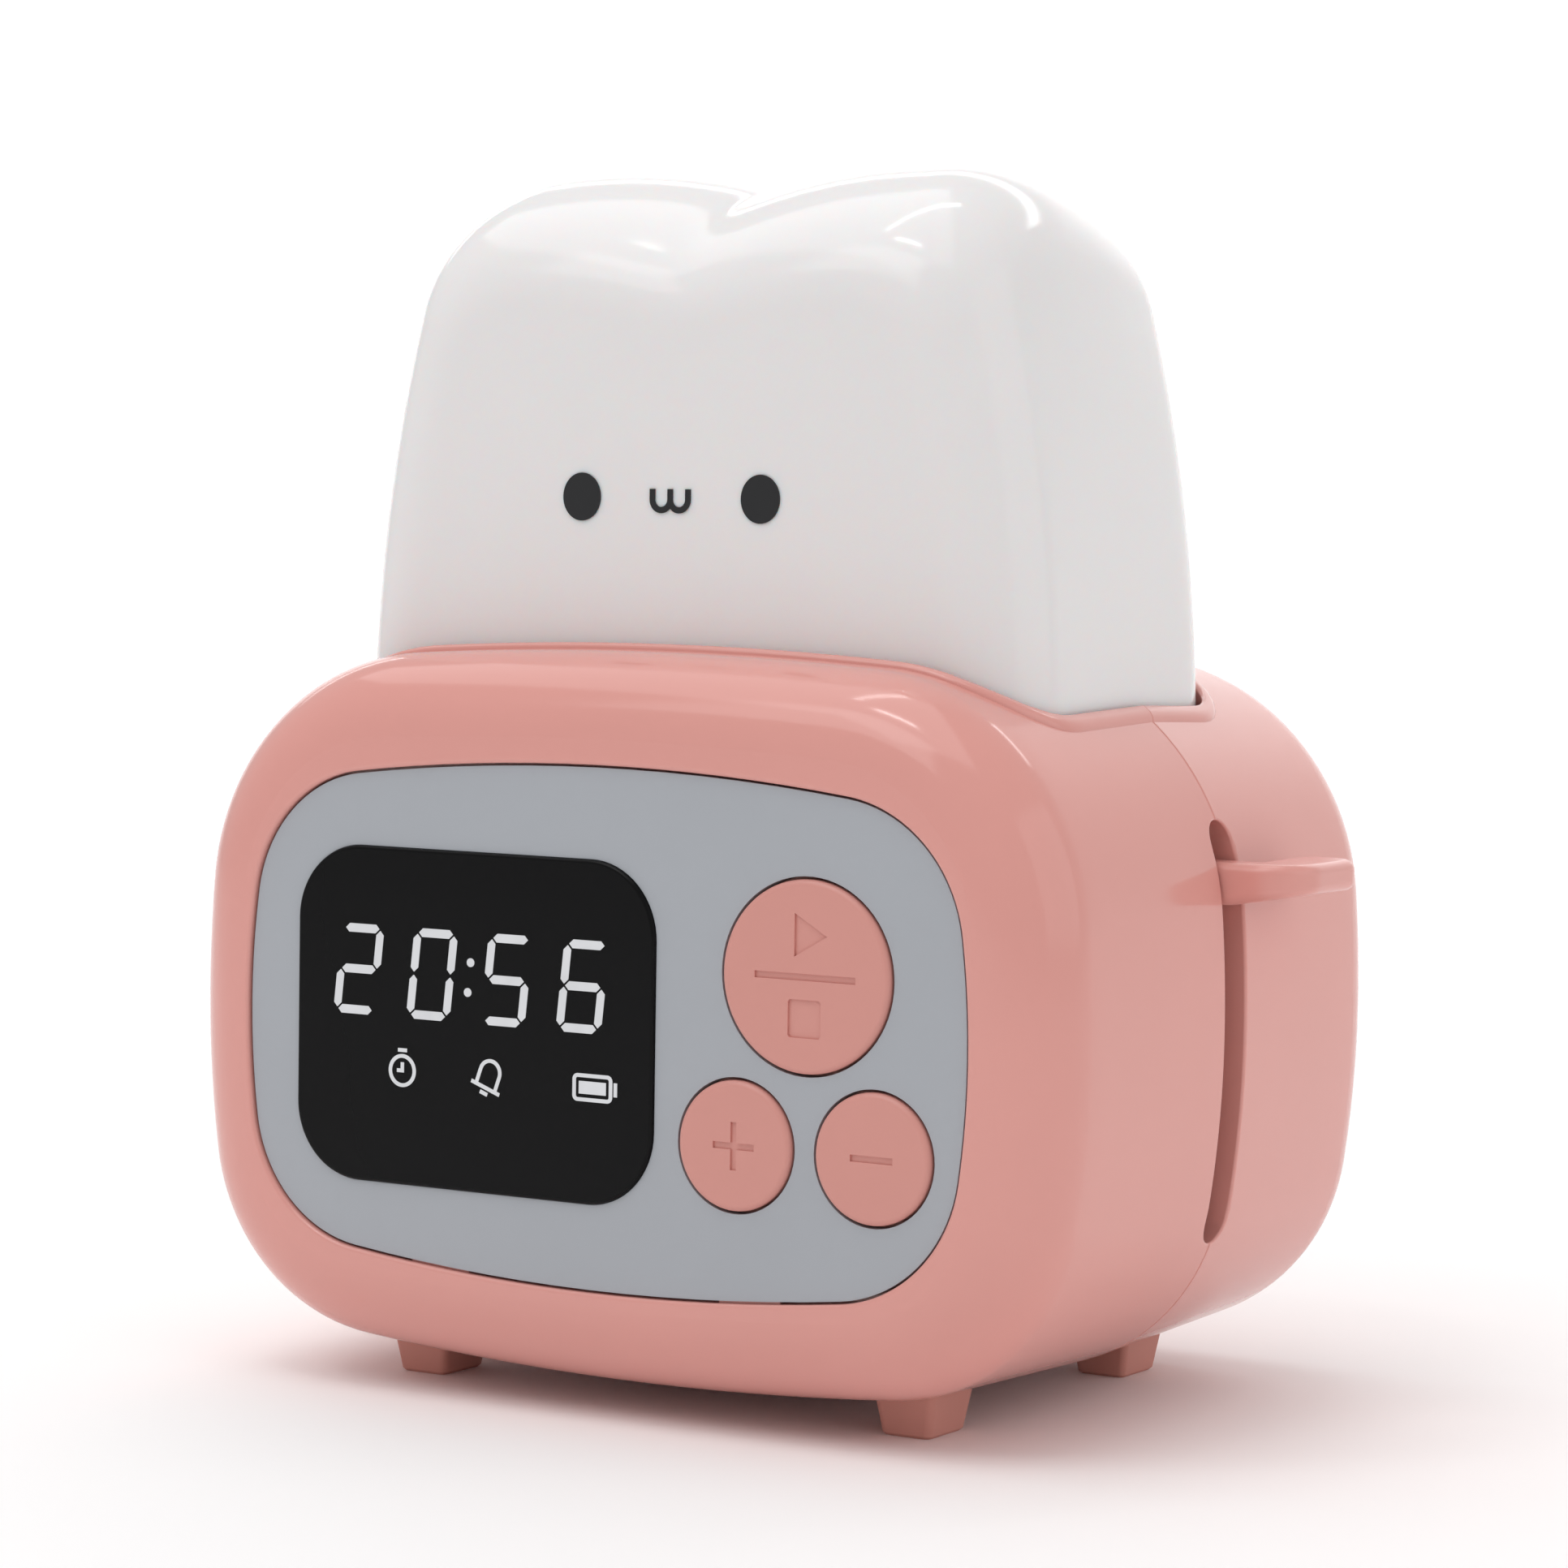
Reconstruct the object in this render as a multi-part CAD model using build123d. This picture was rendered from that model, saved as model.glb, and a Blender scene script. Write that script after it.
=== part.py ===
from build123d import *
import math
import os

# Kids alarm clock in the shape of a toaster, with a slice of bread as its night light.
# The slice is a hollow lamp on a carriage. A lever at the right lowers it by LIFT_TRAVEL,
# a push latch holds it down, and two springs lift it again.
# Frame: millimetres, X to the right, Y to the back, Z up. The origin is on the table,
# midway between the four feet, and the two body shells meet on the plane Y = 0.

# ---------------------------------------------------------------- driving dimensions
# body: one outline of tangent arcs, drafted from the parting plane to the front and back
BODY_HALF_W = 62.7
BODY_CROWN = 44.8            # centre to the top, on the parting plane
BODY_BELLY = 44.3            # centre to the bottom
BODY_TOP_CORNER = (31.9, 32.4, 32.9)      # radius, and how far its centre is inside the side and the top
BODY_LOW_CORNER = (26.5, 27.7, 28.1)
BODY_DEPTH = 88.0
BODY_LOW_Z = 2.95            # the body's bottom above the table
BODY_EDGE_R = 10.0           # rounding round the front and the back
DRAFT_DEG = 1.5
WALL = 2.2
MIN_INNER_EDGE = 1.0
WELD = 0.5                   # how far a boss or post runs into what it is moulded with
OVER = 1.0                   # how far a cutting shape runs past what it cuts

# feet
FOOT_X = 34.8
FOOT_Y = 24.4
FOOT_SIZE = (6.6, 8.5)
FOOT_TAPER = 0.16            # growth of each side for each millimetre upwards
FOOT_CORNER_R = 0.9
FOOT_CHAMFER = 0.35
FOOT_PEG_R = 2.0
FOOT_PEG_L = 5.85            # from the body's bottom up
PRESS_GAP = 0.03

# grey front panel and what shows through it
PANEL_MARGIN = (12.2, 14.35, 12.95)         # from the body's side, top and bottom
PANEL_CORNER = (17.4, 18.2, 19.4)
PANEL_RECESS = 0.6
PANEL_T = 2.0
PANEL_GAP = 0.3
PANEL_LEDGE_W = 2.4
PANEL_LEDGE_T = 2.0
PANEL_RIM_W = 2.0
STAKE_R = 0.9
STAKE_X = 18.0
STAKE_INSET = 1.47           # from the panel's crowned edge to a stake's middle
STAKE_HEAD = 0.4

WINDOW_MARGIN = (7.35, 41.75)             # from the panel's left and right side
WINDOW_RISE = -0.35          # these rises are from the panel's middle
WINDOW_H = 40.8
WINDOW_R = 9.2
WINDOW_T = 1.6
WINDOW_PROUD = 0.5
WINDOW_EDGE_R = 0.45
WINDOW_LEDGE_W = 1.5
WINDOW_GAP = 0.05
FILM_T = 0.1                 # the lit segments, as a film at the window's face

BIG_BUTTON_INSET = 21.1      # these insets are from the panel's right side
BIG_BUTTON_RISE = 8.15
BIG_BUTTON_R = 11.2
SMALL_BUTTON_INSET = (30.4, 11.9)
SMALL_BUTTON_RISE = -12.05
SMALL_BUTTON_R = 7.63
BUTTON_PROUD = 0.6
BUTTON_GAP = 0.35
BUTTON_EDGE_R = 0.7
BUTTON_WALL = 1.5
BUTTON_FLANGE_W = 1.0
BUTTON_FLANGE_T = 1.0
BUTTON_FLANGE_GAP = 0.3
BUTTON_STEM_R = 2.6
BUTTON_TRAVEL = 0.8
ENGRAVE_DEPTH = 0.3
ENGRAVE_LINE = 0.8
MARK_RISE = 4.8
MARK_START_R = 2.9
MARK_STOP_W = 4.4
MARK_LINE_W = 13.5
MARK_SIGN_W = 5.6

SWITCH_SIZE = 6.0
SWITCH_T = 2.6
SWITCH_GAP = 0.3             # left between a pressed button and its switch
PLUNGER_R = 1.7
PLUNGER_GAP = 0.08
PLUNGER_SEAT = 1.0           # how far a plunger reaches into its switch at rest
PLUNGER_END_GAP = 0.2

# main circuit board behind the panel
BOARD_T = 1.6
BOARD_INSET = (1.6, 4.8)     # inside the panel's outline
BOARD_CORNER_R = 5.0
BOARD_POST_R = 2.2
BOARD_POST_INSET = 0.25      # from the panel's corner to a post's middle
CHIPS = (                    # across and up from the board's middle, width, height, thickness
    (-21.0, -1.85, 10.0, 10.0, 1.4),
    (10.0, 8.15, 8.0, 6.0, 1.2),
    (10.5, -8.35, 5.0, 5.0, 1.2),
)
MODULE_INSET = (2.95, 3.4)   # inside the window's outline
MODULE_CORNER_R = 4.0
MODULE_GAP = 0.1

# digits of the display, leaning to the right
DIGIT_H = 11.0
DIGIT_W = 6.4
DIGIT_STROKE = 1.05
DIGIT_SPLIT = 0.2
DIGIT_LEAN_DEG = 6.0
DIGIT_PITCH = 10.9
COLON_RISE = 1.8
DIGIT_SHIFT = -0.3           # these shifts are from the window's middle
DIGIT_RISE = 5.05
ICON_RISE = -6.85
ICON_STROKE = 0.45
TIMER_ICON_SHIFT = -10.0
TIMER_ICON_R = 2.0
TIMER_CROWN_W = 1.3
BELL_ICON_SHIFT = 2.9
BELL_ICON_RISE = 0.7         # above the other icons
BELL_ICON_W = 3.3
BELL_ICON_H = 3.6
BELL_ICON_BRIM = 1.0
BELL_ICON_TILT = -20.0
BATTERY_ICON_SHIFT = 17.6
BATTERY_ICON_W = 5.6
BATTERY_ICON_H = 3.3
BATTERY_ICON_R = 0.7
BATTERY_ICON_GAP = 0.45
ICON_GAP = 0.25              # between the crown or the clapper and its icon

# bread-slice lamp
LAMP_Y = -2.2
LAMP_SIDE_ROOM = 14.3        # from the lamp's side to the body's: wall, guide rod and spring
LAMP_HALF_D = 26.0
LAMP_SEAT = 12.05            # how far its base is below the body's top
LAMP_H = 70.2
LAMP_VALLEY_DIP = 3.2
LAMP_SIDE_R = 240.0
LAMP_SHOULDER_R = 17.0
LAMP_SHOULDER_SHRINK = 0.3   # share of the edges' drops by which the shoulder gets smaller
LAMP_SIDE_EDGE = 10.0
LAMP_TOP_EDGE = 17.2
LAMP_VALLEY_EDGE = 22.0
LAMP_STATIONS = (0, 6, 14, 24, 36, 50, 68, 90)      # degrees round the valley's edge
LAMP_WALL = 2.0
LAMP_GAP = 0.6               # all round, between the lamp and the opening
FACE_RISE = 29.4             # above the lamp's base
EYE_X = 12.7
EYE_W = 5.4
EYE_H = 5.8
MOUTH_W = 5.8
MOUTH_H = 2.9
MOUTH_LINE = 0.75
MOUTH_DROP = 0.4
PRINT_T = 0.15

BASE_FLANGE_T = 2.5
BASE_PLUG_H = 4.0
BASE_PLUG_GAP = 0.2
LAMP_SCREW_INSET = (13.5, 13.4)
LAMP_BOSS_R = 3.6
LED_BOARD_INSET = (12.4, 17.0)            # both insets are from the lamp's outline
LED_BOARD_CORNER_R = 2.0
LED_POST_INSET = 3.0         # from the light board's end
LED_POST_R = 1.8
LED_BOARD_T = 1.6
LED_BOARD_RISE = 1.5
LED_SIZE = 5.0
LED_T = 1.6
LED_COLUMNS = 4
LED_ROWS = 2
LED_PITCH = (18.0, 9.0)
LED_WELL_R = 1.9
LED_WELL_DEPTH = 0.6

# opening of the body: the raised collar and the skirt inside it
COLLAR_H = 0.7
COLLAR_W = 1.8
SKIRT_H = 12.55              # from the body's top down

# lift: carriage on two guide rods
LIFT_TRAVEL = 38.0
ROD_INSET = 10.1             # from the body's side
ROD_R = 1.5
ROD_GAP = 0.05
ROD_STAND = 12.05            # its lower end above the body's bottom
ROD_HEADROOM = 16.05         # its upper end below the body's top
ROD_BOSS_R = 3.4
ROD_SOCKET_L = 4.5
BRACKET_HOLD = 2.6           # along the rod's upper end
BRACKET_ROOF = 0.8
BRACKET_HALF_Y = 4.0
SIDE_CLEAR = 2.0             # nothing fixed to the body comes nearer to the lamp than this

CARRIAGE_T = 3.0
CARRIAGE_INSET = (1.9, 5.0)  # inside the lamp's outline
CARRIAGE_CORNER_R = 4.0
END_PLATE_T = 2.6
END_PLATE_PROUD = 0.2        # past the lamp's side
END_PLATE_Y = (-6.0, 12.0)
END_PLATE_DROP = 25.5        # these drops are from the carriage's top
SLEEVE_R = 3.2
SLEEVE_DROP = (17.5, 5.5)

SPRING_Y = 9.0
SPRING_INSET = 10.7          # from the body's side
SPRING_R = 1.4
SPRING_WIRE_R = 0.25
SPRING_TURNS = 20
SPRING_HOOK_RISE = 3.0       # above the end plate's lower edge
SPRING_HOOK_R = 0.6
SPRING_END_GAP = 0.2
SPRING_LUG_T = 1.8
SPRING_LUG_HALF_Y = 1.8

HOOK_ARM_GAP = 0.2
HOOK_ARM_T = 1.4
HOOK_ARM_W = 1.8
HOOK_BARB_T = 1.4
HOOK_BARB_DROP = 1.3
HOOK_CLEAR = 0.15
HOOK_ROOT_Y = (-8.0, -1.0)

# lever and its slot
SLOT_END_GAP = (2.6, 4.8)    # below the lowered lever and above the raised one
SLOT_HALF_W = 2.7
SLOT_RIB_T = 1.8
SLOT_RIB_DEPTH = 6.3         # from the body's side inwards
LEVER_DROP = 15.1
LEVER_H = 5.0
LEVER_ROOT_DEPTH = 5.7       # from the body's side inwards
LEVER_PAD_GAP = 0.9
LEVER_PAD_T = 8.0
LEVER_HALF_T = 2.2
LEVER_BACK_Y = 16.0
LEVER_FRONT_R = 6.0
LEVER_BACK_R = 4.0
LEVER_HEEL_R = 2.0
LEVER_EDGE_R = 1.2
LEVER_TIP_RISE = 1.7
LEVER_ARM = 3.0              # square arm of the carriage that the lever is pressed on
LEVER_ARM_REACH = 3.3        # past the body's side
LEVER_SOCKET_GAP = 0.2       # past the arm's end
LEVER_LEVEL = 0.9            # edges whose direction rises by less than this are rounded

# latch under the carriage, and the switch beside it
LATCH_Y = 11.0
LATCH_SIZE = (18.0, 11.0, 13.0)
LATCH_RISE = 5.05            # above the body's bottom
LATCH_MOUTH = (6.0, 4.4)
LATCH_MOUTH_DEPTH = 6.0
STRIKER_R = 2.6
STRIKER_TIP_R = 1.4
STRIKER_TIP_L = 5.0
STRIKER_GRIP = 3.2           # how far its tip is in the latch when the lamp is down
LATCH_POST_HALF = (8.0, 5.0)

# things on the rear shell
BATTERY_X = -20.0
BATTERY_RISE = 0.75          # above the body's centre
BATTERY_SIZE = (50.0, 8.0, 34.0)
BATTERY_CORNER_R = 2.0
BATTERY_EDGE_R = 1.5
BATTERY_PAD = (40.0, 20.0)
BATTERY_PAD_T = 1.2
BATTERY_RIB_T = 1.6
BATTERY_RIB_GAP = 0.4
SPEAKER_X = 27.0
SPEAKER_RISE = 10.75
SPEAKER_R = 14.0
SPEAKER_MAGNET_R = 8.0
SPEAKER_MAGNET_T = 3.4
SPEAKER_T = 3.0
SPEAKER_CONE_R = (6.3, 11.2)
SPEAKER_CONE_DEPTH = 1.8
SPEAKER_RING_T = 1.6
SPEAKER_RING_GAP = 0.2
GASKET_T = 0.6
GASKET_W = 1.8
GRILLE_HOLE_R = 0.85
GRILLE_PITCH = 3.4
GRILLE_RINGS = 3
POWER_BOARD_RISE = 16.55     # above the body's bottom
POWER_BOARD_HALF_W = 14.0
POWER_BOARD_D = 14.0
POWER_BOARD_GAP = 0.8        # from its edge to the rear wall
POWER_BOARD_T = 1.2
USB_W = 8.94
USB_H = 3.26
USB_DEPTH = 7.4
USB_R = 1.2
USB_SHELL_T = 0.3
USB_BACK_T = 1.0
USB_TONGUE = (6.6, 0.7)
USB_TONGUE_SILL = 1.0        # the tongue stops this far inside the mouth
USB_SILL = 0.35              # the socket's mouth lies this far inside the rear face
USB_OPENING_GAP = 0.3
RAIL_T = 2.4

# screws
CASE_SCREW_X = 22.0
CASE_SCREW_RISE = 13.25      # above the body's bottom
CASE_RIB_T = 1.6
CASE_BOSS_R = 4.2
CASE_SCREW_R = 1.25
CASE_SCREW_L = 20.0
CASE_HEAD_R = 2.4
CASE_HEAD_T = 1.8
CASE_SEAT_Y = 12.0
CASE_HOLE_R = 1.5
CASE_SINK_R = 2.6
CASE_PILOT_EXTRA = 2.0
SMALL_SCREW_R = 1.0
SMALL_HEAD_R = 1.8
SMALL_HEAD_T = 1.2
SMALL_SCREW_HOLE_R = 1.2
SMALL_RECESS_R = 0.7
SMALL_RECESS_DEPTH = 0.7
THREAD_GAP = 0.02
PILOT_ROOF = 1.0             # plastic left over the blind end of a pilot hole
SCREW_END_GAP = 1.0          # between a screw's tip and that end

# ---------------------------------------------------------------- derived places
FRONT_Y = -BODY_DEPTH / 2
REAR_Y = BODY_DEPTH / 2
BODY_CENTRE_Z = BODY_LOW_Z + BODY_BELLY
BODY_TOP_Z = BODY_CENTRE_Z + BODY_CROWN
FOOT_PEG_TOP = BODY_LOW_Z + FOOT_PEG_L
PANEL_HALF_W = BODY_HALF_W - PANEL_MARGIN[0]
PANEL_TOP_Z = BODY_TOP_Z - PANEL_MARGIN[1]
PANEL_LOW_Z = BODY_LOW_Z + PANEL_MARGIN[2]
PANEL_HALF_H = (PANEL_TOP_Z - PANEL_LOW_Z) / 2
PANEL_Z = (PANEL_TOP_Z + PANEL_LOW_Z) / 2
PANEL_FRONT_Y = FRONT_Y + PANEL_RECESS
PANEL_BACK_Y = PANEL_FRONT_Y + PANEL_T
LEDGE_BACK_Y = PANEL_BACK_Y + PANEL_LEDGE_T
WINDOW_FRONT_Y = PANEL_FRONT_Y - WINDOW_PROUD
WINDOW_BACK_Y = WINDOW_FRONT_Y + WINDOW_T
WINDOW_W = 2 * PANEL_HALF_W - sum(WINDOW_MARGIN)
WINDOW_X = (WINDOW_MARGIN[0] - WINDOW_MARGIN[1]) / 2
WINDOW_Z = PANEL_Z + WINDOW_RISE
MODULE_W = WINDOW_W - 2 * MODULE_INSET[0]
MODULE_H = WINDOW_H - 2 * MODULE_INSET[1]
DIGIT_X = WINDOW_X + DIGIT_SHIFT
DIGIT_Z = PANEL_Z + DIGIT_RISE
ICON_Z = PANEL_Z + ICON_RISE
BUTTON_FRONT_Y = PANEL_FRONT_Y - BUTTON_PROUD
FLANGE_FRONT_Y = PANEL_BACK_Y + BUTTON_FLANGE_GAP
FLANGE_BACK_Y = FLANGE_FRONT_Y + BUTTON_FLANGE_T
SWITCH_FRONT_Y = FLANGE_BACK_Y + BUTTON_TRAVEL + SWITCH_GAP
BOARD_Y = SWITCH_FRONT_Y + SWITCH_T
BOARD_HALF_W = PANEL_HALF_W - BOARD_INSET[0]
BOARD_HALF_H = PANEL_HALF_H - BOARD_INSET[1]
LAMP_HALF_W = BODY_HALF_W - LAMP_SIDE_ROOM
LAMP_BASE_Z = BODY_TOP_Z - LAMP_SEAT
LAMP_TOP_Z = LAMP_BASE_Z + LAMP_H
LAMP_VALLEY_Z = LAMP_TOP_Z - LAMP_VALLEY_DIP
LAMP_FRONT_Y = LAMP_Y - LAMP_HALF_D
FACE_Z = LAMP_BASE_Z + FACE_RISE
LAMP_SCREW = (LAMP_HALF_W - LAMP_SCREW_INSET[0], LAMP_HALF_D - LAMP_SCREW_INSET[1])
LED_BOARD_HALF = (LAMP_HALF_W - LED_BOARD_INSET[0], LAMP_HALF_D - LED_BOARD_INSET[1])
LED_POST_X = LED_BOARD_HALF[0] - LED_POST_INSET
SKIRT_LOW_Z = BODY_TOP_Z - SKIRT_H
SIDE_CLEAR_X = LAMP_HALF_W + SIDE_CLEAR
BASE_LOW_Z = LAMP_BASE_Z - BASE_FLANGE_T
CARRIAGE_LOW_Z = BASE_LOW_Z - CARRIAGE_T
BASE_TOP_Z = LAMP_BASE_Z + BASE_PLUG_H
LED_BOARD_Z = BASE_TOP_Z + LED_BOARD_RISE
CARRIAGE_HALF = (LAMP_HALF_W - CARRIAGE_INSET[0], LAMP_HALF_D - CARRIAGE_INSET[1])
ROD_X = BODY_HALF_W - ROD_INSET
ROD_LOW_Z = BODY_LOW_Z + ROD_STAND
ROD_TOP_Z = BODY_TOP_Z - ROD_HEADROOM
ROD_BOSS_TOP_Z = ROD_LOW_Z + ROD_SOCKET_L
BRACKET_Z = (ROD_TOP_Z - BRACKET_HOLD, ROD_TOP_Z + BRACKET_ROOF)
HOOK_ARM_LOW_Z = BRACKET_Z[1] + HOOK_ARM_GAP
HOOK_ARM_Z = (HOOK_ARM_LOW_Z, HOOK_ARM_LOW_Z + HOOK_ARM_T)
HOOK_ARM_IN_X = SIDE_CLEAR_X + HOOK_ARM_GAP
HOOK_ARM_X = (HOOK_ARM_IN_X, HOOK_ARM_IN_X + HOOK_ARM_W)
END_PLATE_OUT_X = LAMP_HALF_W + END_PLATE_PROUD
END_PLATE_X = (END_PLATE_OUT_X - END_PLATE_T, END_PLATE_OUT_X)
END_PLATE_LOW_Z = BASE_LOW_Z - END_PLATE_DROP
SLEEVE_Z = tuple(BASE_LOW_Z - drop for drop in SLEEVE_DROP)
SPRING_X = BODY_HALF_W - SPRING_INSET
SPRING_HOOK_Z = END_PLATE_LOW_Z + SPRING_HOOK_RISE
SPRING_TOP_Z = ROD_TOP_Z
LEVER_Z = (BASE_LOW_Z - LEVER_DROP, BASE_LOW_Z - LEVER_DROP + LEVER_H)
LEVER_MID_Z = (LEVER_Z[0] + LEVER_Z[1]) / 2
LEVER_ROOT_X = BODY_HALF_W - LEVER_ROOT_DEPTH
LEVER_PAD_IN_X = BODY_HALF_W + LEVER_PAD_GAP
LEVER_PAD_X = (LEVER_PAD_IN_X, LEVER_PAD_IN_X + LEVER_PAD_T)
LEVER_ARM_END_X = BODY_HALF_W + LEVER_ARM_REACH
SLOT_RIB_X = BODY_HALF_W - SLOT_RIB_DEPTH
SLOT_Z = (LEVER_Z[0] - LIFT_TRAVEL - SLOT_END_GAP[0], LEVER_Z[1] + SLOT_END_GAP[1])
LATCH_LOW_Z = BODY_LOW_Z + LATCH_RISE
STRIKER_LOW_Z = LATCH_LOW_Z + LATCH_SIZE[2] + LIFT_TRAVEL - STRIKER_GRIP
REAR_WALL_Y = REAR_Y - WALL
BATTERY_Z = BODY_CENTRE_Z + BATTERY_RISE
SPEAKER_Z = BODY_CENTRE_Z + SPEAKER_RISE
POWER_BOARD_Z = BODY_LOW_Z + POWER_BOARD_RISE
CASE_SCREW_Z = BODY_LOW_Z + CASE_SCREW_RISE
BATTERY_BACK_Y = REAR_WALL_Y - BATTERY_PAD_T
POWER_BOARD_Y = (REAR_WALL_Y - POWER_BOARD_GAP - POWER_BOARD_D, REAR_WALL_Y - POWER_BOARD_GAP)
BOARD_POST_REACH = (PANEL_CORNER[0] - BOARD_POST_INSET) * math.sqrt(0.5)
BOARD_POST_X = PANEL_HALF_W - PANEL_CORNER[1] + BOARD_POST_REACH
BOARD_POST_RISE = PANEL_HALF_H - PANEL_CORNER[2] + BOARD_POST_REACH
BOARD_POSTS = [
    (sx * BOARD_POST_X, PANEL_Z + sz * BOARD_POST_RISE) for sx in (-1, 1) for sz in (-1, 1)
]
BIG_BUTTON_X = PANEL_HALF_W - BIG_BUTTON_INSET
SMALL_BUTTON_X = tuple(PANEL_HALF_W - inset for inset in SMALL_BUTTON_INSET)
BUTTONS = {
    "start_stop": (BIG_BUTTON_X, PANEL_Z + BIG_BUTTON_RISE, BIG_BUTTON_R),
    "minute": (SMALL_BUTTON_X[0], PANEL_Z + SMALL_BUTTON_RISE, SMALL_BUTTON_R),
    "second": (SMALL_BUTTON_X[1], PANEL_Z + SMALL_BUTTON_RISE, SMALL_BUTTON_R),
}


# ---------------------------------------------------------------- small tools
def block(x, y, z):
    """Box between two values on each axis."""
    size = Box(abs(x[1] - x[0]), abs(y[1] - y[0]), abs(z[1] - z[0]))
    return Pos((x[0] + x[1]) / 2, (y[0] + y[1]) / 2, (z[0] + z[1]) / 2) * size


def pillar(x, y, radius, z):
    """Round bar along Z."""
    return Pos(x, y, (z[0] + z[1]) / 2) * Cylinder(radius, abs(z[1] - z[0]))


def barrel(x, z, radius, y):
    """Round bar along Y."""
    return Pos(x, (y[0] + y[1]) / 2, z) * Rot(90, 0, 0) * Cylinder(radius, abs(y[1] - y[0]))


def forward(sketch, y_back, y_front):
    """A sketch drawn in X and Z, from y_back forward to y_front."""
    plane = Plane(origin=(0, y_back, 0), x_dir=(1, 0, 0), z_dir=(0, -1, 0))
    return extrude(plane * sketch, amount=y_back - y_front)


def upward(sketch, z):
    """A sketch drawn in X and Y, from z[0] up to z[1]."""
    return extrude(Plane.XY.offset(z[0]) * sketch, amount=z[1] - z[0])


def plan_frame(grow, z):
    """The lamp's outline from above, grown on every side."""
    sketch = RectangleRounded(2 * (LAMP_HALF_W + grow), 2 * (LAMP_HALF_D + grow), LAMP_SIDE_EDGE + grow)
    return upward(Pos(0, LAMP_Y) * sketch, z)


def on_circle(centre, radius, angle):
    return (centre[0] + radius * math.cos(angle), centre[1] + radius * math.sin(angle))


def arc(centre, radius, start, end):
    """An arc as three points in X and Z: its start, its middle and its end."""
    return [on_circle(centre, radius, a) for a in (start, (start + end) / 2, end)]


def flipped(points, sx, sz):
    """The same arc in another quarter, running the same way round."""
    turned = [(sx * x, sz * z) for x, z in points]
    return turned if sx * sz > 0 else turned[::-1]


def wire_of(arcs, y, centre_z):
    edges = []
    for points in arcs:
        at = [(x, y, z + centre_z) for x, z in points]
        if len(at) == 3:
            edges.append(Edge.make_three_point_arc(*at))
        else:
            edges.append(Edge.make_line(*at))
    return Wire(edges)


# ---------------------------------------------------------------- crowned outlines
def crown_centre(half_w, half_h, corner):
    """Height of the crown arc's centre, from the outline's middle."""
    radius, from_side, from_top = corner
    reach = math.hypot(half_w - from_side, half_h - from_top)
    return ((half_h - radius) ** 2 - reach**2) / (2 * (from_top - radius))


def crowned_quarter(half_w, half_h, corner, inset):
    """Side, corner and crown of one quarter: three tangent arcs, moved inwards by inset."""
    radius, from_side, from_top = corner
    px = half_w - from_side
    pz = half_h - from_top
    side_x = crown_centre(half_h, half_w, (radius, from_top, from_side))
    crown_z = crown_centre(half_w, half_h, corner)
    side_end = math.atan2(pz, px - side_x)
    crown_start = math.atan2(pz - crown_z, px)
    return [
        arc((side_x, 0), half_w - side_x - inset, 0, side_end),
        arc((px, pz), radius - inset, side_end, crown_start),
        arc((0, crown_z), half_h - crown_z - inset, crown_start, math.pi / 2),
    ]


def crowned_wire(half_w, upper, lower, inset, y, centre_z):
    """Closed outline whose upper and lower halves have their own height and corner."""
    top = crowned_quarter(half_w, *upper, inset)
    low = crowned_quarter(half_w, *lower, inset)
    arcs = [flipped(a, 1, 1) for a in top]
    arcs += [flipped(a, -1, 1) for a in reversed(top)]
    arcs += [flipped(a, -1, -1) for a in low]
    arcs += [flipped(a, 1, -1) for a in reversed(low)]
    return wire_of(arcs, y, centre_z)


def body_wire(inset, y):
    upper = (BODY_CROWN, BODY_TOP_CORNER)
    lower = (BODY_BELLY, BODY_LOW_CORNER)
    return crowned_wire(BODY_HALF_W, upper, lower, inset, y, BODY_CENTRE_Z)


def half_body(inset, side):
    """Solid half of the body from the parting plane to the front (side -1) or the back (side 1)."""
    depth = BODY_DEPTH / 2 - inset
    slope = depth * math.tan(math.radians(DRAFT_DEG))
    solid = Solid.make_loft([body_wire(inset, 0), body_wire(inset + slope, side * depth)], ruled=True)
    end_face = solid.faces().sort_by(Axis.Y)[0 if side < 0 else -1]
    return solid.fillet(max(BODY_EDGE_R - inset, MIN_INNER_EDGE), end_face.edges())


def panel_prism(inset, y_back, y_front):
    quarter = (PANEL_HALF_H, PANEL_CORNER)
    wire = crowned_wire(PANEL_HALF_W, quarter, quarter, inset, y_back, PANEL_Z)
    return extrude(Face(wire), amount=y_back - y_front, dir=(0, -1, 0))


# ---------------------------------------------------------------- body shells
def slot_prism(grow, x_inner, x_outer):
    """The lever's slot, or the frame round it when grown."""
    height = SLOT_Z[1] - SLOT_Z[0] + 2 * grow
    sketch = SlotOverall(height, 2 * (SLOT_HALF_W + grow), rotation=90)
    plane = Plane(origin=(x_inner, 0, sum(SLOT_Z) / 2), x_dir=(0, 1, 0), z_dir=(1, 0, 0))
    return extrude(plane * sketch, amount=x_outer - x_inner)


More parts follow.
